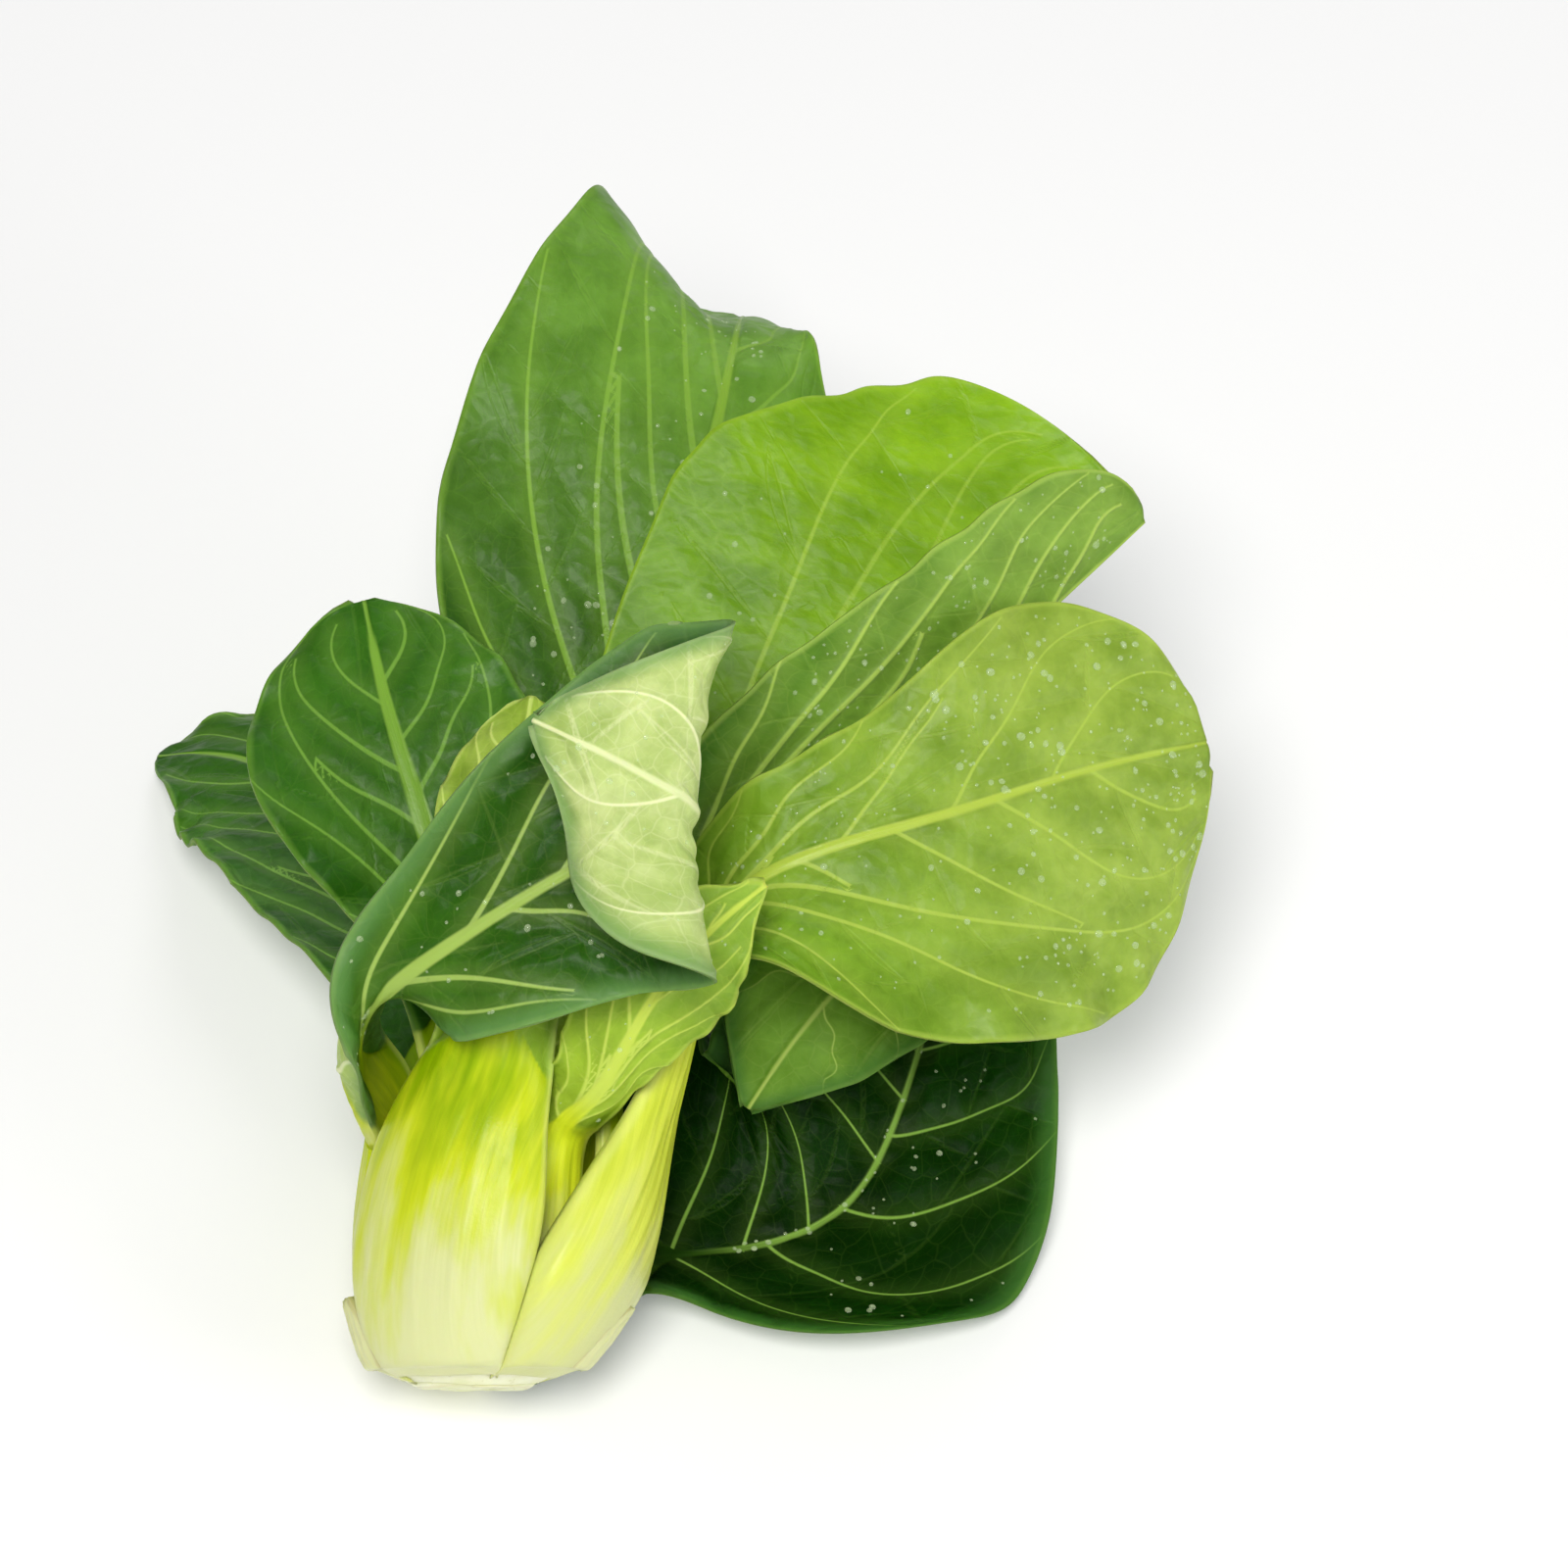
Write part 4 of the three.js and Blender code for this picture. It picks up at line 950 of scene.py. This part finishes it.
def butt_piece():
    """The trimmed base, scalloped where the outer stalks grow from it."""
    turns, profile = 180, [(0.0, 0.35), (0.3, 0.25), (0.5, 0.1), (0.64, 0.0), (0.7, 0.3), (0.78, 0.9),
                           (0.9, 1.8), (0.97, 2.4), (0.93, 3.2), (0.8, 4.0), (0.5, 5.0), (0.02, 5.2)]
    fine = np.linspace(0, len(profile) - 1, 72)
    share = np.interp(fine, range(len(profile)), [p[0] for p in profile])
    level = np.interp(fine, range(len(profile)), [p[1] for p in profile])
    azimuth = np.arange(turns) * 360 / turns
    S, Z = np.meshgrid(share, azimuth, indexing="ij")
    H = np.broadcast_to(level[:, None], S.shape).copy()
    gaps = np.min([np.abs((Z - a + 180) % 360 - 180) / 38 for a in OUTER_STALKS], axis=0)
    scallop = 1 - 0.075 * smoothstep(gaps, 0.55, 1.15) * smoothstep(S, 0.4, 0.9)
    rng = np.random.default_rng(BUTT_SEED)
    radius = CUT_RADIUS * S * scallop * (1 + 0.012 * waves(Z / 360, rng, 2, 6, 4))
    rings = np.abs(((S * 4.2 + 0.18 * np.sin(rad(Z) * 2 + 1)) % 1) - 0.5) * 2
    ring = smoothstep(rings, 0.78, 0.98) * smoothstep(S, 1.0, 0.93) * (H < 1)
    dimples = 0.12 * waves(S * 1.3 + Z / 200, rng, 1, 4, 4) * smoothstep(S, 0.02, 0.4) * (H < 0.5)
    H = H + 0.3 * ring * (H < 1) + dimples
    p = CORE_AXIS * H[..., None] + outward(Z) * radius[..., None]
    rows, cols = S.shape
    k = np.arange(rows * cols).reshape(rows, cols)
    quads = np.stack([k[:-1], np.roll(k, -1, 1)[:-1], np.roll(k, -1, 1)[1:], k[1:]], -1).reshape(-1, 4)
    quads = [list(q) for q in quads] + [list(k[0, ::-1]), list(k[-1])]
    flat = np.stack([radius * np.sin(rad(Z)), radius * np.cos(rad(Z)), H], -1).reshape(-1, 3) / 100
    attributes = {"flat": flat, "ring": ring.ravel(),
                  "browned": (smoothstep(np.abs(S - 0.66), 0.05, 0.0) * (H < 2) * 0.3).ravel()}
    points = placed(trimmed(p)).reshape(-1, 3)
    return new_piece("trimmed_butt", points, quads, TRIMMED, ["butt"], attributes)


butt_piece()
STUBS = {  # azimuth, then rows of height, distance from the axis, and half width
    "stub": (-80, [(2.6, 15.6, 5.5), (6.5, 18.3, 6), (10.5, 20.2, 5), (14, 22, 3)]),
    "stub_right": (84, [(2.6, 15.8, 6.5), (7, 18.9, 6.5), (11, 20.8, 5), (15, 22.4, 3)]),
}
for number, (name, (azimuth, outline)) in enumerate(STUBS.items()):
    out = outward(azimuth)
    rows = [station(CORE_AXIS * h + out * r, -out, (w, w), (0, 0, 24, 24)) for h, r, w in outline]
    stub = Leaf(rows, 0.997, 0.999, 0.5, ruffle=(0, 0, 0), thickness=1.0, seed=STUB_SEED + number)
    leaf_piece(name, stub, FINISHES["stub"], "stalk", fine=0.35, nodes=[name])

# ---- water on the leaves ----
VIEW_DISTANCE = 950
VIEW_MIDDLE = (48.9, 95.3)
SUNK = 0.06  # share of its radius that a drop stands below the leaf's face
LOWEST_DROP = 3  # mm over the floor
SPRINKLED = [  # leaf, from and to along it, from and to across it, count, radii in mm
    ("right", (0.74, 0.99), (-0.92, 0.92), 300, (0.22, 0.75)),
    ("right", (0.5, 0.74), (-0.9, 0.9), 80, (0.2, 0.6)),
    ("folded", (0.62, 0.97), (0.1, 0.95), 110, (0.22, 0.7)),
    ("folded", (0.5, 0.9), (-0.9, -0.1), 25, (0.25, 0.6)),
    ("tall", (0.55, 0.93), (-0.6, 0.3), 120, (0.2, 0.7)),
    ("left", (0.4, 0.68), (-0.9, 0.9), 40, (0.25, 0.7)),
    ("left", (0.74, 0.97), (-0.9, 0.9), 40, (0.25, 0.7)),
    ("under_right", (0.3, 0.72), (-0.02, 0.02), 30, (0.3, 0.6)),
    ("under_right", (0.35, 0.75), (0.1, 0.9), 45, (0.25, 0.6)),
    ("inner_right", (0.5, 0.9), (-0.8, 0.8), 20, (0.2, 0.5)),
]


def domes(places, outwards, radii, rng, flatness=0.42, turns=12, rings=4):
    """Closed flattened domes, standing on their places, in the head's frame."""
    points, faces = [], []
    for place, normal, radius in zip(places, outwards, radii):
        one = unit(np.cross(normal, [0.3, 0.9, 0.2]))
        two = np.cross(normal, one)
        stretch, start = rng.uniform(0.8, 1.2), len(points)
        for ring in range(rings):
            lift = ring / rings * math.pi / 2
            for turn in np.arange(turns) * 2 * math.pi / turns:
                level = one * math.cos(turn) * stretch + two * math.sin(turn)
                rise = normal * (math.sin(lift) * flatness - SUNK)
                points.append(place + radius * (math.cos(lift) * level + rise))
        points.append(place + normal * radius * (flatness - SUNK))
        faces.append([start + k for k in range(turns - 1, -1, -1)])
        for ring in range(rings - 1):
            low = start + ring * turns
            faces += [[low + k, low + (k + 1) % turns, low + turns + (k + 1) % turns, low + turns + k]
                      for k in range(turns)]
        top = start + (rings - 1) * turns
        faces += [[top + k, top + (k + 1) % turns, start + rings * turns] for k in range(turns)]
    return np.array(points), faces


def droplets_piece():
    """Drops of water on the faces of the leaves that are turned up."""
    rng = np.random.default_rng(WATER_SEED)
    eye = np.array([*VIEW_MIDDLE, VIEW_DISTANCE], float)
    places, outwards, radii = [], [], []
    for name, alongs, acrosses, count, sizes in SPRINKLED:
        sheet = sheets[name]
        inside = np.argwhere((sheet["along"] > alongs[0]) & (sheet["along"] < alongs[1])
                             & (sheet["across"] > acrosses[0]) & (sheet["across"] < acrosses[1]))
        for row, col in inside[rng.integers(0, len(inside), count)]:
            down, over = sheet["down"][row, col], sheet["upper"][row, col]
            above = -down @ (eye - over) > 0
            place = trimmed(over if above else sheet["lower"][row, col])
            if tipped(place)[2] < LOWEST_DROP:
                continue
            places.append(place)
            outwards.append(-down if above else down)
            radii.append(sizes[0] + (sizes[1] - sizes[0]) * rng.uniform() ** 3)
    points, faces = domes(places, outwards, radii, rng)
    water, _, skin = new_finish("water")
    dial(skin, {"Alpha": 0.24, "Base Color": (0.82, 1.0, 0.6, 1), "IOR": 1.33, "Specular IOR Level": 0.7,
                "Roughness": 0.04})
    return new_piece("droplets", placed(points), faces, water, None)


droplets_piece()

# ---- floor, light and camera ----
DAYLIGHT = (0.97, 0.98, 1.0)
FLOOR_REACH = 4  # metres


def seen_from(x, y, z):
    return Vector(tipped([x, y, z]) * MM + SHIFT)


floor_mesh = bpy.data.meshes.new("floor")
floor_corners = [(FLOOR_REACH * x, FLOOR_REACH * y, 0) for x, y in ((-1, -1), (1, -1), (1, 1), (-1, 1))]
floor_mesh.from_pydata(floor_corners, [], [(0, 1, 2, 3)])
floor_object = bpy.data.objects.new("floor", floor_mesh)
bpy.context.collection.objects.link(floor_object)
paper, _, surface = new_finish("white_floor")
dial(surface, {"Base Color": (0.8, 0.8, 0.8, 1), "Emission Color": (*DAYLIGHT, 1), "Emission Strength": 0.2,
               "Roughness": 0.7, "Specular IOR Level": 0.2})
floor_mesh.materials.append(paper)

world = bpy.data.worlds.new("studio")
world.use_nodes = True
dial(world.node_tree.nodes["Background"].inputs, {"Color": (*DAYLIGHT, 1), "Strength": 0.26})
bpy.context.scene.world = world


def softbox(name, place, target, size, power, tint=(1, 1, 1)):
    data = bpy.data.lights.new(name, "AREA")
    data.shape = "DISK"
    data.size = size
    data.energy = power
    data.color = tint
    lamp = bpy.data.objects.new(name, data)
    bpy.context.collection.objects.link(lamp)
    lamp.location = place
    lamp.rotation_mode = "QUATERNION"
    lamp.rotation_quaternion = (Vector(target) - Vector(place)).to_track_quat("-Z", "Y")


softbox("key", (-0.1, -0.6, 1.1), (0, 0, 0.05), 0.5, 11.5, (1, 0.985, 0.95))
softbox("right", (1.1, -0.6, 0.6), (0, 0, 0.05), 0.8, 4.5)
softbox("back", (0.2, 1.0, 0.9), (0, 0.05, 0.08), 0.7, 3)

camera_data = bpy.data.cameras.new("camera")
camera = bpy.data.objects.new("camera", camera_data)
bpy.context.collection.objects.link(camera)
eye = seen_from(*VIEW_MIDDLE, VIEW_DISTANCE)
back = (seen_from(0, 0, 1) - seen_from(0, 0, 0)).normalized()
above = (seen_from(0, 1, 0) - seen_from(0, 0, 0)).normalized()
right = above.cross(back)
camera.matrix_world = Matrix((
    (right.x, above.x, back.x, eye.x),
    (right.y, above.y, back.y, eye.y),
    (right.z, above.z, back.z, eye.z),
    (0, 0, 0, 1),
))
camera_data.lens = 138.4
camera_data.sensor_width = 36
camera_data.clip_start = 0.05
camera_data.clip_end = 20
bpy.context.scene.camera = camera
bpy.context.scene.view_settings.view_transform = "Standard"
